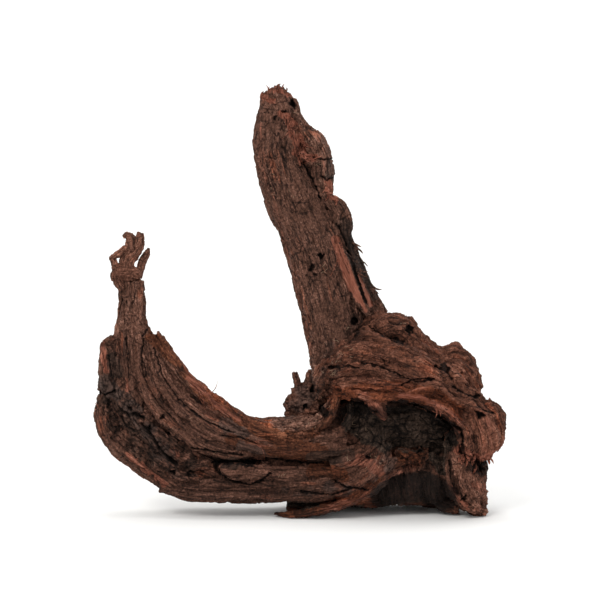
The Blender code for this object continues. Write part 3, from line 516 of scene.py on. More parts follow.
# Splinters torn loose from the wood: x, z of the root, the way they point in degrees from +X, length,
# half width, how many, how far they scatter, how far they stand out, and how fresh they are.
SPLINTERS = [
    (-39, 416, 100, 9, 0.9, 4, 3, 0.5, 0.7),
    (-33, 426, 75, 6, 1, 5, 4, 0.3, 0.9),
    (-22, 428, 60, 5, 1, 4, 4, 0.3, 0.8),
    (-14, 424, 40, 5, 0.9, 4, 3, 0.3, 0.8),
    (-18, 401, -50, 9, 0.9, 5, 4, 1.2, 1),
    (-11, 392, -70, 16, 0.9, 4, 3, 1, 1),
    (-2, 378, -68, 20, 0.9, 4, 3, 1, 0.9),
    (0, 358, -60, 12, 1.1, 6, 5, 2, 1),
    (6, 356, 20, 10, 1, 5, 4, 2, 0.9),
    (26, 326, -70, 9, 1.1, 6, 5, 1.2, 0.8),
    (32, 316, -40, 7, 1, 5, 3, 1, 0.8),
    (38, 270, -65, 34, 0.8, 3, 3, 0.4, 1),
    (66, 248, 45, 4, 1.2, 3, 2, 0.4, 0.8),
    (54, 268, -50, 9, 1.2, 4, 6, 0.3, 0.2),
    (62, 246, -50, 9, 1.2, 4, 6, 0.3, 0.3),
    (70, 226, -45, 9, 1.3, 5, 6, 0.3, 0.2),
    (166, 62, -75, 7, 1.8, 6, 10, 0.6, 0.7),
    (-202, 108, 150, 4, 0.6, 3, 3, 0.3, 0.6),
    (-186, 270, 20, 5, 0.5, 2, 2, 0.3, 0.6),
    (-57, 10, -70, 4, 0.6, 5, 6, 0.3, 0.9),
    (160, 62, -85, 6, 1.4, 6, 5, 0.5, 1),
    (172, 56, -95, 6, 1.4, 7, 6, 0.5, 1),
    (186, 61, -60, 7, 1.4, 6, 6, 0.5, 1),
    (196, 68, -30, 4, 1.2, 4, 4, 0.3, 0.8),
    (130, 112, -40, 12, 0.8, 4, 6, 0.6, 0.9),
    (-45, 76, -25, 18, 0.6, 4, 8, 0.3, 0.7),
    (-100, 122, -45, 22, 0.6, 4, 8, 0.3, 0.6),
]

# Loose pale fibres that lie on the wood: x, z, how far they scatter, how many and how long.
FIBRES = [
    (-6, 400, 6, 2, 5), (20, 350, 3, 2, 9), (24, 336, 6, 3, 4), (60, 262, 8, 3, 4), (26, 244, 8, 3, 6),
    (47, 186, 3, 2, 8), (40, 172, 12, 8, 4), (34, 160, 14, 14, 4), (26, 146, 10, 12, 4), (20, 112, 8, 5, 4),
    (102, 192, 3, 2, 7), (56, 90, 14, 6, 4), (74, 56, 10, 8, 3), (44, 60, 3, 2, 8), (-22, 48, 12, 4, 3),
    (180, 52, 4, 2, 6), (6, 96, 10, 5, 3), (-120, 104, 40, 4, 4), (-20, 330, 22, 6, 3),
]


# Noise

GRADIENTS = np.array(
    [(x, y, 0) for x in (-1, 1) for y in (-1, 1)]
    + [(x, 0, z) for x in (-1, 1) for z in (-1, 1)]
    + [(0, y, z) for y in (-1, 1) for z in (-1, 1)]
    + [(1, 1, 0), (-1, 1, 0), (0, -1, 1), (0, -1, -1)],
    np.float32,
)
SCATTER = np.array((374761393, 668265263, 1440662683, 1274126177), np.uint32)  # large odd numbers
SEED_SHIFT = 7919  # how many cells apart two seeds lie


def hashed(cell):
    """A well mixed whole number for each cell of a grid."""
    x, y, z = cell.T
    mixed = x * SCATTER[0] + y * SCATTER[1] + z * SCATTER[2]
    mixed = (mixed ^ (mixed >> np.uint32(13))) * SCATTER[3]
    return mixed ^ (mixed >> np.uint32(16))


def noise3(places, seed):
    """Gradient noise between about -1 and 1 at each row of places."""
    cell = np.floor(places)
    part = (places - cell).astype(np.float32)
    cell = (cell.astype(np.int64) + SEED_SHIFT * seed).astype(np.uint32)
    fade = part**3 * (part * (part * 6 - 15) + 10)
    total = np.zeros(len(places), np.float32)
    for corner in itertools.product((0, 1), repeat=3):
        gradient = GRADIENTS[hashed(cell + np.array(corner, np.uint32)) & np.uint32(15)]
        push = (gradient * (part - np.array(corner, np.float32))).sum(1)
        share = np.where(corner, fade, 1 - fade)
        total += push * (share[:, 0] * share[:, 1]) * share[:, 2]
    return total


def noises(places, *seeds):
    """A column of noise for each seed."""
    return np.stack([noise3(places, seed) for seed in seeds], 1)


def crease(places, seed, width):
    """0 along sharp creases and 1 between them."""
    return np.minimum(np.abs(noise3(places, seed)) / width, 1)


def cells(places, seed):
    """Distance to the nearest cell centre, and how much nearer it is than the second one."""
    cell = np.floor(places).astype(np.int64)
    part = places - cell
    first = np.full(len(places), 9.0)
    second = np.full(len(places), 9.0)
    for beside in itertools.product((-1, 0, 1), repeat=3):
        key = hashed((cell + beside + SEED_SHIFT * seed).astype(np.uint32))
        spot = np.stack([(key >> np.uint32(bits)) & np.uint32(1023) for bits in (0, 10, 20)], 1) / 1023
        far = np.linalg.norm(spot + beside - part, axis=1)
        second = np.minimum(second, np.maximum(first, far))
        first = np.minimum(first, far)
    return first, second - first


def ramp(values, low, high):
    """0 below low, 1 above high and smooth between; low may be the larger."""
    share = np.clip((values - low) / (high - low), 0, 1)
    return share * share * (3 - 2 * share)


def near_path(places, path, radius, soft):
    """1 within radius of a path drawn in the view from the front, fading to 0 over soft."""
    best = np.full(len(places), 1e9)
    flat = places[:, (0, 2)]
    corners = np.array(path, float).reshape(-1, 2)
    for start, end in zip(corners, corners[1:]):
        run = end - start
        share = np.clip(((flat - start) @ run) / (run @ run), 0, 1)
        best = np.minimum(best, np.linalg.norm(flat - start - share[:, None] * run, axis=1))
    return ramp(best, radius + soft, radius)


# Strands


def smooth_path(stations, step):
    """Rows of evenly spaced values on a smooth curve through the stations."""
    rows = np.array(stations, float)
    along = np.concatenate([[0], np.cumsum(np.linalg.norm(np.diff(rows[:, :3], axis=0), axis=1))])
    slopes = np.gradient(rows, along, axis=0)
    count = max(3, int(math.ceil(along[-1] / step)) + 1)
    at = np.linspace(0, along[-1], count)
    i = np.clip(np.searchsorted(along, at, side="right") - 1, 0, len(along) - 2)
    span = (along[i + 1] - along[i])[:, None]
    t = (at - along[i])[:, None] / span
    start = (2 * t**3 - 3 * t**2 + 1) * rows[i] + (t**3 - 2 * t**2 + t) * span * slopes[i]
    end = (3 * t**2 - 2 * t**3) * rows[i + 1] + (t**3 - t**2) * span * slopes[i + 1]
    return at, start + end


def loft(stations, flutes, groove, seed, step=STEP, sides=SIDES, thinnest=THINNEST):
    """Rings of points of one strand, with each ring's distance along, centre, tangent, across and depth."""
    at, rows = smooth_path(stations, step)
    centre = rows[:, :3]
    tangent = np.gradient(centre, axis=0)
    tangent /= np.linalg.norm(tangent, axis=1)[:, None]
    across = np.cross(tangent, (0, 1, 0))
    across /= np.linalg.norm(across, axis=1)[:, None]
    depth = np.cross(across, tangent)
    turn = np.linspace(0, 2 * math.pi, sides, endpoint=False)
    drift = at[:, None]
    # the flutes are uneven round the strand, and turn slowly along it
    wave = 0.30 * np.sin(2 * turn + drift / 37 + seed) + 0.22 * np.sin(3 * turn - drift / 23 + 2 * seed)
    valley = 1 - np.abs(np.cos(flutes * (turn + wave + seed) / 2)) ** 1.2
    half_width = np.maximum(rows[:, 3], thinnest)[:, None] * np.cos(turn)
    half_depth = np.maximum(rows[:, 4], thinnest)[:, None] * np.sin(turn)
    radius = np.hypot(half_width, half_depth)
    keep = 1 - np.minimum(groove * valley / radius, DEEPEST_GROOVE)
    points = (
        centre[:, None, :]
        + across[:, None, :] * (half_width * keep)[:, :, None]
        + depth[:, None, :] * (half_depth * keep)[:, :, None]
    )
    return points, (at + STRAND_SHIFT * seed, centre, tangent, across, depth)


def tube_faces(rings, sides, first):
    """Faces of a closed tube whose points start at first."""
    faces = []
    for ring in range(rings - 1):
        here = first + ring * sides
        for side in range(sides):
            beside = (side + 1) % sides
            faces.append((here + side, here + beside, here + sides + beside, here + sides + side))
    faces.append(tuple(first + side for side in reversed(range(sides))))
    faces.append(tuple(first + (rings - 1) * sides + side for side in range(sides)))
    return faces


def new_object(name, points, faces):
    mesh = bpy.data.meshes.new(name)
    mesh.from_pydata([tuple(point) for point in points], [], faces)
    thing = bpy.data.objects.new(name, mesh)
    bpy.context.scene.collection.objects.link(thing)
    return thing


def apply_modifiers(thing):
    bpy.context.view_layer.update()
    graph = bpy.context.evaluated_depsgraph_get()
    made = bpy.data.meshes.new_from_object(thing.evaluated_get(graph))
    thing.modifiers.clear()
    thing.data = made
    made.name = thing.name


def fused(name, strands, voxel, melt, seed):
    """One object of fused strands, with the rings' points, the ring of each point, and the rings' frames."""
    points, faces, frames, owner = [], [], [], []
    for number, (flutes, groove, stations) in enumerate(strands):
        rings, frame = loft(stations, flutes, groove, seed + number)
        first = sum(len(some) for some in points)
        faces += tube_faces(len(rings), SIDES, first)
        start = sum(len(some[0]) for some in frames)
        owner.append(np.repeat(np.arange(len(rings)) + start, SIDES))
        points.append(rings.reshape(-1, 3))
        frames.append(frame)
    points = np.concatenate(points)
    thing = new_object(name, points, faces)
    fuse = thing.modifiers.new("fuse", "REMESH")
    fuse.mode = "VOXEL"
    fuse.voxel_size = voxel
    blend = thing.modifiers.new("blend", "SMOOTH")
    blend.factor = 0.5
    blend.iterations = melt
    apply_modifiers(thing)
    return thing, points, np.concatenate(owner), [np.concatenate(values) for values in zip(*frames)]


def grain_coordinates(places, points, owner, frames):
    """For each place: distance along the nearest strand, and its two coordinates in the strand's section."""
    tree = kdtree.KDTree(len(points))
    for i, point in enumerate(points):
        tree.insert(point, i)
    tree.balance()
    ring = owner[[tree.find(place)[1] for place in places]]
    at, centre, tangent, across, depth = [values[ring] for values in frames]
    out = places - centre
    return np.stack([at + (out * tangent).sum(1), (out * across).sum(1), (out * depth).sum(1)], 1)


def vertex_rows(mesh, name):
    values = np.empty(len(mesh.vertices) * 3, np.float32)
    mesh.vertices.foreach_get(name, values)
    return values.reshape(-1, 3)


def set_attributes(mesh, values, grain):
    """Stores the given values and the grain's coordinates at every point, for the material."""
    for name, given in values.items():
        mesh.attributes.new(name, "FLOAT", "POINT").data.foreach_set("value", given.astype(np.float32))
    stored = mesh.attributes.new("grain", "FLOAT_VECTOR", "POINT")
    stored.data.foreach_set("vector", grain.astype(np.float32).ravel())


def settle(thing):
    """Turns a piece from drawing units into metres about the frame's origin."""
    mesh = thing.data
    mesh.vertices.foreach_set("co", ((vertex_rows(mesh, "co") - MIDDLE) * UNIT).ravel())
    mesh.shade_smooth()
    mesh.update()


# Carving: marks, holes and cracks drawn in the view from the front, and relief along the grain


def front_of(places, normals):
    """1 where the wood faces the viewer, 0 on its back."""
    return ramp(normals[:, 1], 0.35, -0.05) * ramp(places[:, 1], 26, 10)


def masks_of(places, facing):
    """Masks of 0 to 1 for every place, with edges that noise makes ragged."""
    ragged = places + 2.2 * noises(places / 5, 41, 42, 43)
    ragged += 1.2 * noises(places / 2, 44, 45, 46)
    masks = {}
    for name, marks in MARKS.items():
        masks[name] = np.zeros(len(places))
        for radius, strength, *path in marks:
            soft = 0.5 if name in ("raised", "peeled") else 0.6 * radius + 1
            from_here = places + 0.25 * (ragged - places) if name == "peeled" else ragged
            near = near_path(from_here, path, radius, soft)
            masks[name] = np.maximum(masks[name], strength * near * facing)
    masks["hollow"] *= ramp(places[:, 1], -38, -30)
    return masks


def cuts_of(places, facing):
    """How deep the drawn holes and cracks go at every place."""
    ragged = places + 1.2 * noises(places / 3, 51, 52, 53)
    uneven = ragged + 3.0 * noises(places / 6, 54, 55, 56)
    deep = np.zeros(len(places))
    for half_width, depth, *path in CRACKS:
        deep = np.maximum(deep, depth * near_path(ragged, path, half_width * 0.5, half_width * 0.9))
    for x, z, along, beside, turn, depth in HOLES:
        right, up = uneven[:, 0] - x, uneven[:, 2] - z
        far = np.hypot(
            (right * math.cos(turn) + up * math.sin(turn)) / along,
            (up * math.cos(turn) - right * math.sin(turn)) / beside,
        )
        deep = np.maximum(deep, depth * ramp(far, 1.2, 0.7))
    # the knot's hole is cut into a ring that stands a little proud
    x, z, hole, ring, depth = KNOT
    far = np.hypot(places[:, 0] - x, places[:, 2] - z) + 0.5 * noise3(places / 4, 57)
    around = ramp(far, ring + 2, ring)
    deep = deep * (1 - around) + depth * ramp(far, hole, hole - 1.2)
    deep -= 1.4 * around * ramp(far, hole - 1, hole)
    return deep * facing


def relief(places, grain, masks, style):
    """Height to add along the normal, and how much painted shade each place gets in slits, cracks and
    crevices.
    """
    bent = grain.copy()
    wander = noises(grain / (55, 30, 30), 3, 4)
    finer = noises(grain / (14, 12, 12), 21, 22)
    bent[:, 1:] += style["wander"] * wander + 0.18 * style["wander"] * finer
    hollow, peeled = masks["hollow"], masks["peeled"]
    calm = 1 - 0.8 * np.maximum(np.maximum(hollow, masks["crumbled"] * 0.7), masks["fresh"] * 0.7)
    calm *= (1 - 0.9 * peeled) * (1 - 0.35 * masks["rusty"])

    # creases of the grain, then lumps and knobs
    height = np.zeros(len(places), np.float32)
    for trait, length, apart, seed, width, below in CREASES:
        height += style[trait] * (crease(bent / (length, apart, apart), seed, width) - below)
    height *= calm
    height += style["lumps"] * (1.2 * noise3(places / 17, 8) + 0.6 * noise3(places / 7, 9))
    knobs = noise3(places / 4.2, 34) + 0.6 * (crease(places / 5.5, 35, 0.25) - 0.7)
    knobs += 0.5 * noise3(places / 2.1, 36)
    height += style["rough"] * knobs * (1 - 0.9 * peeled)

    # chips flaked off along the grain, long splits, short checks across the grain, and slits
    chip = ramp(noise3(bent / (24, 8, 8), 23), 0.10, 0.16)
    chip = chip + 0.8 * ramp(noise3(bent / (11, 3.6, 3.6), 24), 0.16, 0.24)
    height -= style["chips"] * chip * (1 - peeled)
    split = ramp(np.abs(noise3(bent / (120, 15, 15), 10)), 0.045, 0.0)
    split = split * ramp(noise3(places / 34, 11), 0.0, 0.10)
    split *= calm * min(1, style["bundles"])
    height -= 2.6 * split
    check = ramp(np.abs(noise3(bent / (9, 24, 24), 12)), 0.045, 0.0)
    check = check * ramp(noise3(places / 20, 13), 0.04, 0.14)
    check *= calm * style["chips"]
    height -= 1.3 * check
    first, _ = cells(bent / (10, 3.4, 3.4), 14)
    slit = ramp(first, 0.24, 0.12) * ramp(noise3(places / 24, 15), -0.06, 0.10)
    slit *= style["chips"] * (1 - peeled) * (1 - hollow)
    height -= 1.7 * slit
    # painted shade darkens the splits, checks and slits
    dark = np.maximum(np.maximum(0.7 * split, 0.8 * check), 0.75 * slit)

    # crumbled bark in lumps, with painted shade in the crevices between them
    warped = bent / (13, 6, 6) + 0.7 * noises(places / 9, 25, 26, 27)
    lumps, edges = cells(warped, 16)
    crust = 3.0 * noise3(places / 12, 28) + 1.6 * (0.5 - lumps) - 2.2 * ramp(edges, 0.16, 0.0)
    crust += noise3(places / 4, 17) + 0.5 * noise3(places / 2, 29)
    crumbled = masks["crumbled"] * (1 - hollow)
    height += crumbled * crust * min(1, style["lumps"])
    dark = np.maximum(dark, 0.75 * crumbled * ramp(edges, 0.13, 0.02))

    # bark in the hollow, cracked into small plates, with painted shade in the cracks
    warped = places / 12 + 0.7 * noises(places / 13, 18, 30, 31)
    _, edges = cells(warped, 19)
    _, finer_edges = cells(warped * 2.1, 37)
    cracked = np.maximum(ramp(edges, 0.12, 0.02), 0.6 * ramp(finer_edges, 0.12, 0.02)) * hollow
    bark = 2.2 * noise3(places / 15, 32) + 0.9 * noise3(places / 4, 20) + 0.5 * noise3(places / 1.9, 33)
    height += hollow * bark - 2.0 * cracked
    return height + 1.3 * masks["raised"] - 1.5 * peeled, np.maximum(dark, cracked)


def carve(thing, points, owner, frames, style, triangles, low, high):
    """Carves a fused piece between the corners low and high, and brings it down to its triangles."""
    mesh = thing.data
    places, normals = vertex_rows(mesh, "co"), vertex_rows(mesh, "normal")
    facing = front_of(places, normals)
    grain = grain_coordinates(places, points, owner, frames)
    masks = masks_of(places, facing)
    cuts = cuts_of(places, facing)
    height, dark = relief(places, grain, masks, style)
    carved = places + normals * height[:, None]
    carved[:, 1] += cuts
    ragged = 3.5 + 3.5 * noise3(places / (5, 9, 30), 61) + 2.0 * noise3(places / (2.2, 4, 20), 62)
    carved[:, 2] -= ramp(places[:, 2], *CROWN) * ragged
    carved = np.clip(carved, low, high)
    mesh.vertices.foreach_set("co", carved.astype(np.float32).ravel())
    # painted shade for the material: near black in deep cracks and holes, in slits and crevices, and under
    # the drawn shade marks; a few of those marks darken the wood's own colour instead
    dark = np.maximum(np.maximum(ramp(cuts, 0.6, 3.0), masks["shade_and_dark_wood"]), dark)
    values = dict(masks, relief=height, cut=dark)
    values.update((name, np.full(len(places), style[name])) for name in STYLED)
    set_attributes(mesh, {name: values[name] for name in ATTRIBUTES}, grain)
    mesh.calc_loop_triangles()
    if len(mesh.loop_triangles) > triangles:
        thin = thing.modifiers.new("thin", "DECIMATE")
        thin.ratio = triangles / len(mesh.loop_triangles)
        apply_modifiers(thing)
    settle(thing)


# Loose splinters and fibres

LOOSE_SEED = 7
LOOSE_STEP = 1.6
LOOSE_SIDES = 5
LOOSE_THINNEST = 0.05
LOOSE_RELIEF = 0.4  # the height at which the material shades it
PLACES = 6  # points along a splinter or fibre
FEWEST = 4  # with fewer of them on the wood it is left out
CURL = 0.5  # how far a splinter or fibre turns along its length, in radians
SWERVE = 14  # how far splinters stray from their direction, in degrees
LENGTHS = (0.6, 1.2)  # shortest and longest splinter, as shares of the length given
WIDTHS = (0.5, 1.1)  # thinnest and thickest, likewise
LIFT_AT_ROOT, LIFT_GAIN = 0.3, 1.4  # how far a splinter stands out at its root, and how much more at its tip
SPLINTER_LEAP = 4  # the largest step in the wood's front that a splinter follows
FIBRE_LEAP = 3
FIBRE_LIFT = 0.1
FIBRE_WIDTH = 0.2  # half of it


def front_surface(pieces, x, z):
    """How far back the wood's front lies at x, z, or None beside it."""
    start = Vector(((x - MIDDLE[0]) * UNIT, -1, z * UNIT))
    found = [piece.ray_cast(start, (0, 1, 0)) for piece in pieces]
    reached = [where.y for hit, where, _, _ in found if hit]
    return min(reached) / UNIT + MIDDLE[1] if reached else None


def over_wood(pieces, x, z, heading, curl, length, rooted):
    """Points of a curling line over the wood: share of its length, x, z and how far back the wood lies."""
    for share in np.linspace(0, 1, PLACES):
        turned = heading + curl * share
        far = length * (share - rooted)
        px, pz = x + far * math.cos(turned), z + far * math.sin(turned)
        yield share, px, pz, front_surface(pieces, px, pz)


def sliver(path, half_width):
    """Stations of a thin, slightly flat strand through the given points, which tapers to its tip."""
    shares = np.sin(np.linspace(0.25, 1.0, len(path)) * math.pi) ** 0.6
    return [(x, y, z, half_width * share, half_width * share * 0.7) for (x, y, z), share in zip(path, shares)]


def loose_stations(pieces):
    """Stations of every splinter and every fibre, laid on the finished wood."""
    rng = np.random.default_rng(LOOSE_SEED)
    splinters, fibres = [], []
    for x, z, angle, length, half_width, count, scatter, lift, fresh in SPLINTERS:
        for _ in range(count):
            heading = math.radians(angle + rng.normal(0, SWERVE))
            right, up = x + rng.normal(0, scatter / 2), z + rng.normal(0, scatter / 2)
            long = length * rng.uniform(*LENGTHS)
            path, back = [], None
            for share, px, pz, surface in over_wood(pieces, right, up, heading, rng.normal(0, CURL), long, 0):
                if surface is not None and (back is None or abs(surface - back) < SPLINTER_LEAP):
                    back = surface
                if back is not None:
                    path.append((px, back - lift * (LIFT_AT_ROOT + LIFT_GAIN * share), pz))
            if len(path) >= FEWEST:
                splinters.append((sliver(path, half_width * rng.uniform(*WIDTHS)), fresh))
    for x, z, scatter, count, length in FIBRES:
        for _ in range(count):
            heading = rng.uniform(0, math.pi)
            right, up = x + rng.normal(0, scatter / 2), z + rng.normal(0, scatter / 2)
            path = []
            for _, px, pz, surface in over_wood(pieces, right, up, heading, rng.normal(0, CURL), length, 0.5):
                if surface is not None and (not path or abs(surface - path[-1][1]) < FIBRE_LEAP):
                    path.append((px, surface - FIBRE_LIFT, pz))
            if len(path) >= FEWEST:
                fibres.append((sliver(path, FIBRE_WIDTH), 1.0))
    return splinters, fibres


def loose_piece(name, parts, straw, low, high):
    """One object of thin closed strands."""
    points, faces, fresh = [], [], []
    for stations, share in parts:
        rings, _ = loft(stations, 1, 0.0, 0, LOOSE_STEP, LOOSE_SIDES, LOOSE_THINNEST)
        faces += tube_faces(len(rings), LOOSE_SIDES, sum(len(some) for some in points))
        points.append(np.clip(rings.reshape(-1, 3), low, high))
        fresh.append(np.full(len(rings) * LOOSE_SIDES, share))
    points, fresh = np.concatenate(points), np.concatenate(fresh)
    thing = new_object(name, points, faces)
    values = dict.fromkeys(ATTRIBUTES, np.zeros(len(points)))
    values["fresh"] = fresh * (1 - straw)
    values["straw"] = np.full(len(points), straw)
    values["relief"] = np.full(len(points), LOOSE_RELIEF)
    set_attributes(thing.data, values, points * (0.3, 1, 1))
    settle(thing)
    return thing


# Materials


class Shade:
    """Short names for the shader nodes that the wood uses."""

    def __init__(self, material):
        material.use_nodes = True
        self.tree = material.node_tree
        self.tree.nodes.clear()

    def node(self, kind, **settings):
        made = self.tree.nodes.new(kind)
        for name, value in settings.items():
            setattr(made, name, value)
        return made

    def attribute(self, name):
        return self.node("ShaderNodeAttribute", attribute_name=name)

    def put(self, socket, value):
        if isinstance(value, bpy.types.NodeSocket):
            self.tree.links.new(value, socket)
        else:
            socket.default_value = value

    def fill(self, made, *values):
        """Sets the first inputs of a node and gives its first output."""
        for socket, value in zip(made.inputs, values):
            self.put(socket, value)
        return made.outputs[0]

    def math(self, operation, *values):
        return self.fill(self.node("ShaderNodeMath", operation=operation), *values)

    def times(self, a, b):
        return self.math("MULTIPLY", a, b)

    def most(self, a, b):
        return self.math("MAXIMUM", a, b)

    def plus(self, start, value, weight):
        """The start with a weighted value added."""
        return self.math("MULTIPLY_ADD", value, weight, start)

    def total(self, middle, *parts, start=None):
        """A sum of weighted values that lie about 0.5, moved so that they add up to middle."""
        result = start
        for weight, value in parts:
            shifted = self.plus(-0.5 * weight, value, weight)
            result = shifted if result is None else self.math("ADD", result, shifted)
        return self.math("ADD", result, middle)

    def span(self, value, low, high, to_low=0.0, to_high=1.0):
        """The value eased from to_low at low to to_high at high; low may be the larger."""
        eased = self.node("ShaderNodeMapRange", interpolation_type="SMOOTHSTEP")
        return self.fill(eased, value, low, high, to_low, to_high)

    def hairline(self, noisy, half_width):
        """1 along the thin lines where noise crosses its middle."""
        return self.span(self.math("ABSOLUTE", self.math("SUBTRACT", noisy, 0.5)), half_width, 0.0)

    def noise(self, vector, scale, detail, roughness, distortion=0.0):
        made = self.node("ShaderNodeTexNoise")
        self.put(made.inputs["Vector"], vector)
        made.inputs["Scale"].default_value = scale
        made.inputs["Detail"].default_value = detail
        made.inputs["Roughness"].default_value = roughness
        made.inputs["Distortion"].default_value = distortion
        return made.outputs["Fac"]

    def mix(self, share, a, b, blend="MIX"):
        made = self.node("ShaderNodeMix", data_type="RGBA", blend_type=blend)
        self.put(made.inputs[0], share)
        self.put(made.inputs[6], a)
        self.put(made.inputs[7], b)
        return made.outputs[2]

    def tinted(self, share, colour, tint):
        """The colour multiplied by a tint, as far as share says."""
        return self.mix(share, colour, self.mix(1.0, colour, (*tint, 1), "MULTIPLY"))

    def colours(self, value, stops):
        made = self.node("ShaderNodeValToRGB")
        self.put(made.inputs[0], value)
        elements = made.color_ramp.elements
        while len(elements) < len(stops):
            elements.new(0.5)
        for element, (place, colour) in zip(elements, stops):
            element.position = place
            element.color = (*colour, 1)
        return made.outputs[0]


def wood_material():
    material = bpy.data.materials.new("dark_root_wood")
    s = Shade(material)
    mark = {name: s.attribute(name).outputs["Fac"] for name in ATTRIBUTES + ("straw",)}
    height = mark["relief"]
    grain = s.attribute("grain").outputs["Vector"]
    place = s.node("ShaderNodeTexCoord").outputs["Object"]

    def grained(along, across, detail, roughness, distortion=0.0):
        """Noise drawn out along the grain."""
        stretch = s.node("ShaderNodeVectorMath", operation="MULTIPLY")
        return s.noise(s.fill(stretch, grain, (along, across, across)), 1.0, detail, roughness, distortion)

    def where(name, noisy, width):
        """A mark with an edge that noise makes ragged."""
        return s.span(s.total(0.0, (width, noisy), start=mark[name]), 0.30, 0.70)

    # fibres and broader strands along the grain, blotches and grit across it
    fibre = grained(0.045, 0.42, 4, 0.65, 0.3)
    hair = grained(0.10, 0.95, 3, 0.7, 0.2)
    strand = grained(0.014, 0.17, 3, 0.5, 0.5)
    thread = grained(0.13, 0.85, 2, 0.7)
    blotch = s.noise(place, 26.0, 4, 0.62)
    patch = s.noise(place, 90.0, 3, 0.6)
    dust = s.noise(place, 520.0, 2, 0.8)
    grit = s.plus(0.5, s.math("SUBTRACT", s.noise(place, 330.0, 5, 0.75), 0.5), mark["rough"])

    # short slits and long hairline cracks along the grain, and cracks across it, which the colour fills with
    # painted shade
    pit = s.span(grained(0.12, 0.50, 2, 0.5), 0.39, 0.36)
    pit = s.most(pit, s.span(grained(0.16, 0.85, 1, 0.5), 0.36, 0.33))
    pit = s.times(s.times(pit, mark["pitted"]), s.span(blotch, 0.40, 0.56, 0.25, 1.0))
    thin = s.times(s.hairline(strand, 0.016), s.span(patch, 0.42, 0.50))
    crack = s.times(s.hairline(grained(0.013, 0.13, 2, 0.5, 0.5), 0.018), s.span(blotch, 0.40, 0.50))
    check = s.times(s.hairline(grained(0.15, 0.045, 2, 0.5, 0.8), 0.018), s.span(patch, 0.48, 0.56))
    gap = s.most(s.most(pit, crack), s.most(s.times(check, 0.8), thin))

    # brown wood, and the orange, black, grey, dark and bare wood laid over it, then near-black painted shade
    tone = s.total(0.51, (0.27, fibre), (0.30, hair), (0.30, strand), (0.38, blotch), (0.25, patch))
    tone = s.total(0.0, (0.8, grit), (1.35, dust), (0.5, thread), start=tone)
    # the relief's height paints shade into the grooves and light onto the crests, here and in the coal and
    # bark
    for value, weight in ((mark["pale"], 0.12), (height, 0.075), (mark["lifted"], 0.12)):
        tone = s.plus(tone, value, weight)
    colour = s.tinted(s.times(mark["warm"], 0.7), s.colours(tone, BROWN), (1.12, 0.86, 0.72))
    reddish = s.span(s.total(0.5, (1.6, blotch), (1.4, strand)), 0.62, 0.95)
    colour = s.tinted(reddish, colour, (1.35, 0.98, 0.80))
    colour = s.tinted(where("rusty", patch, 0.9), colour, (0.92, 0.68, 0.50))
    orange = s.colours(s.total(0.58, (1.3, fibre), (0.9, hair), (0.8, strand), (0.6, patch)), ORANGE)
    coal = s.colours(s.plus(s.total(0.46, (0.9, dust), (0.7, patch), (0.7, thread)), height, 0.10), COAL)
    slate = s.colours(s.total(0.5, (0.7, dust), (0.8, fibre), (0.6, patch)), SLATE)
    bark = s.colours(s.plus(s.total(0.60, (1.2, dust), (0.7, patch)), height, 0.06), BARK)
    bare = s.colours(s.total(0.66, (0.9, fibre), (0.7, hair), (0.5, thread), (0.5, patch)), ORANGE)

    ridge = s.times(s.span(height, 0.5, 1.6), s.span(strand, 0.50, 0.64))
    gap = s.times(gap, s.plus(0.85, mark["peeled"], -0.7))
    for share, over in (
        (s.most(s.times(ridge, 0.45), where("fresh", fibre, 1.1)), orange),
        (s.times(where("charred_and_shade", patch, 1.2), 0.80), coal),
        (s.times(where("slate", patch, 1.4), 0.7), slate),
        (where("hollow", patch, 0.8), bark),
        (mark["peeled"], bare),
        # painted shade in the slits and cracks, then in the cuts, crevices and drawn shade marks
        (gap, (*SHADE_IN_GAPS, 1)),
        (s.times(mark["cut"], 0.9), (*SHADE_AND_DARKENING_COLOUR, 1)),
        (mark["straw"], (*STRAW, 1)),
    ):
        colour = s.mix(share, colour, over)

    shader = s.node("ShaderNodeBsdfPrincipled")
    s.put(shader.inputs["Base Color"], colour)
    s.put(shader.inputs["Roughness"], s.span(s.total(0.5, (1.0, fibre), (1.0, blotch)), 0.3, 0.8, 0.86, 0.62))
    shader.inputs["Specular IOR Level"].default_value = SPECULAR
    bump = s.node("ShaderNodeBump")
    bump.inputs["Strength"].default_value = 1.0
    bump.inputs["Distance"].default_value = BUMP_DEPTH
    lines = s.total(0.5, (0.8, fibre), (0.9, hair), (0.9, thread), (0.7, dust), (1.2, grit), (-1.2, gap))
    s.put(bump.inputs["Height"], lines)
    s.put(shader.inputs["Normal"], bump.outputs[0])
    s.put(s.node("ShaderNodeOutputMaterial").inputs["Surface"], shader.outputs[0])
    return material


# Studio


def aimed(name, data, place, towards):
    """A light or camera at a place, turned to look in a direction."""
    thing = bpy.data.objects.new(name, data)
    thing.location = place
    thing.rotation_mode = "QUATERNION"
    thing.rotation_quaternion = towards.to_track_quat("-Z", "Y")
    bpy.context.scene.collection.objects.link(thing)
    return thing


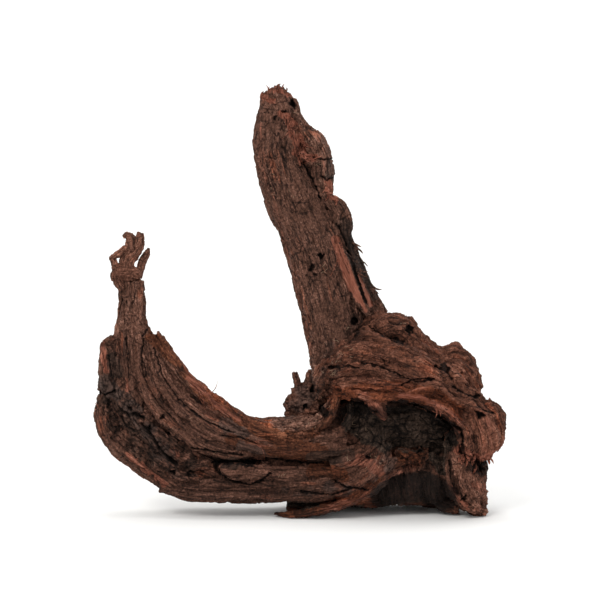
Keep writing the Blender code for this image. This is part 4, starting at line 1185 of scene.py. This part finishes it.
def studio():
    """A pale floor that curves up into a backdrop, soft lights and the camera."""
    half, near, wall, rise, bend, below = BACKDROP
    curve = [(math.sin(a) * bend, bend - bend * math.cos(a)) for a in np.linspace(0, math.pi / 2, BEND_STEPS)]
    profile = [(near, 0), *[(wall - bend + y, z) for y, z in curve], (wall, rise)]
    points = [(x, y, z - below) for x in (-half, half) for y, z in profile]
    count = len(profile)
    faces = [(i, i + 1, count + i + 1, count + i) for i in range(count - 1)]
    sweep = new_object("backdrop", points, faces)
    sweep.data.shade_smooth()
    paper = bpy.data.materials.new("backdrop_paper")
    paper.use_nodes = True
    shader = paper.node_tree.nodes["Principled BSDF"]
    shader.inputs["Base Color"].default_value = (*PAPER, 1)
    shader.inputs["Roughness"].default_value = PAPER_ROUGHNESS
    sweep.data.materials.append(paper)
    sweep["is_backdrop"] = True

    for name, place, size, power, tint in LIGHTS:
        lamp = bpy.data.lights.new(name, "AREA")
        lamp.shape = "RECTANGLE"
        lamp.size, lamp.size_y = size
        lamp.energy = power
        lamp.color = tint
        aimed(name, lamp, place, Vector(LIT) - Vector(place))

    world = bpy.data.worlds.new("studio")
    world.use_nodes = True
    background = world.node_tree.nodes["Background"]
    background.inputs["Color"].default_value = (1, 1, 1, 1)
    background.inputs["Strength"].default_value = WORLD_STRENGTH
    bpy.context.scene.world = world
    bpy.context.scene.view_settings.view_transform = "Standard"

    camera = bpy.data.cameras.new("camera")
    camera.lens = LENS
    camera.sensor_width = SENSOR
    down = math.radians(DOWN)
    away = Vector((0, -math.cos(down), math.sin(down)))
    target = Vector((np.array(CENTRE) - MIDDLE) * UNIT)
    distance = SEEN * UNIT * LENS / SENSOR
    bpy.context.scene.camera = aimed("camera", camera, target + away * distance, -away)


low, high = [np.array(corner, float) / UNIT + MIDDLE for corner in cad_box]
low, high = low + INSET, high - INSET

studio()
wood = wood_material()
pieces = []
for seed, (name, strands, style, voxel, triangles) in enumerate(PIECES):
    traits = dict(zip(TRAITS, STYLES[style]))
    piece, points, owner, frames = fused(name, strands, voxel, traits["melt"], PIECE_SEEDS * seed)
    carve(piece, points, owner, frames, traits, triangles, low, high)
    pieces.append(piece)
bpy.context.view_layer.update()
splinters, fibres = loose_stations(pieces)
pieces.append(loose_piece("splinters", splinters, 0.0, low, high))
pieces.append(loose_piece("fibres", fibres, 1.0, low, high))
for piece in pieces:
    piece.data.materials.clear()
    piece.data.materials.append(wood)
    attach(piece, "root")
    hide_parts("driftwood")

boxes = {"cad": cad_box, "visual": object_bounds()}
{name: [list(corner) for corner in corners] for name, corners in boxes.items()}
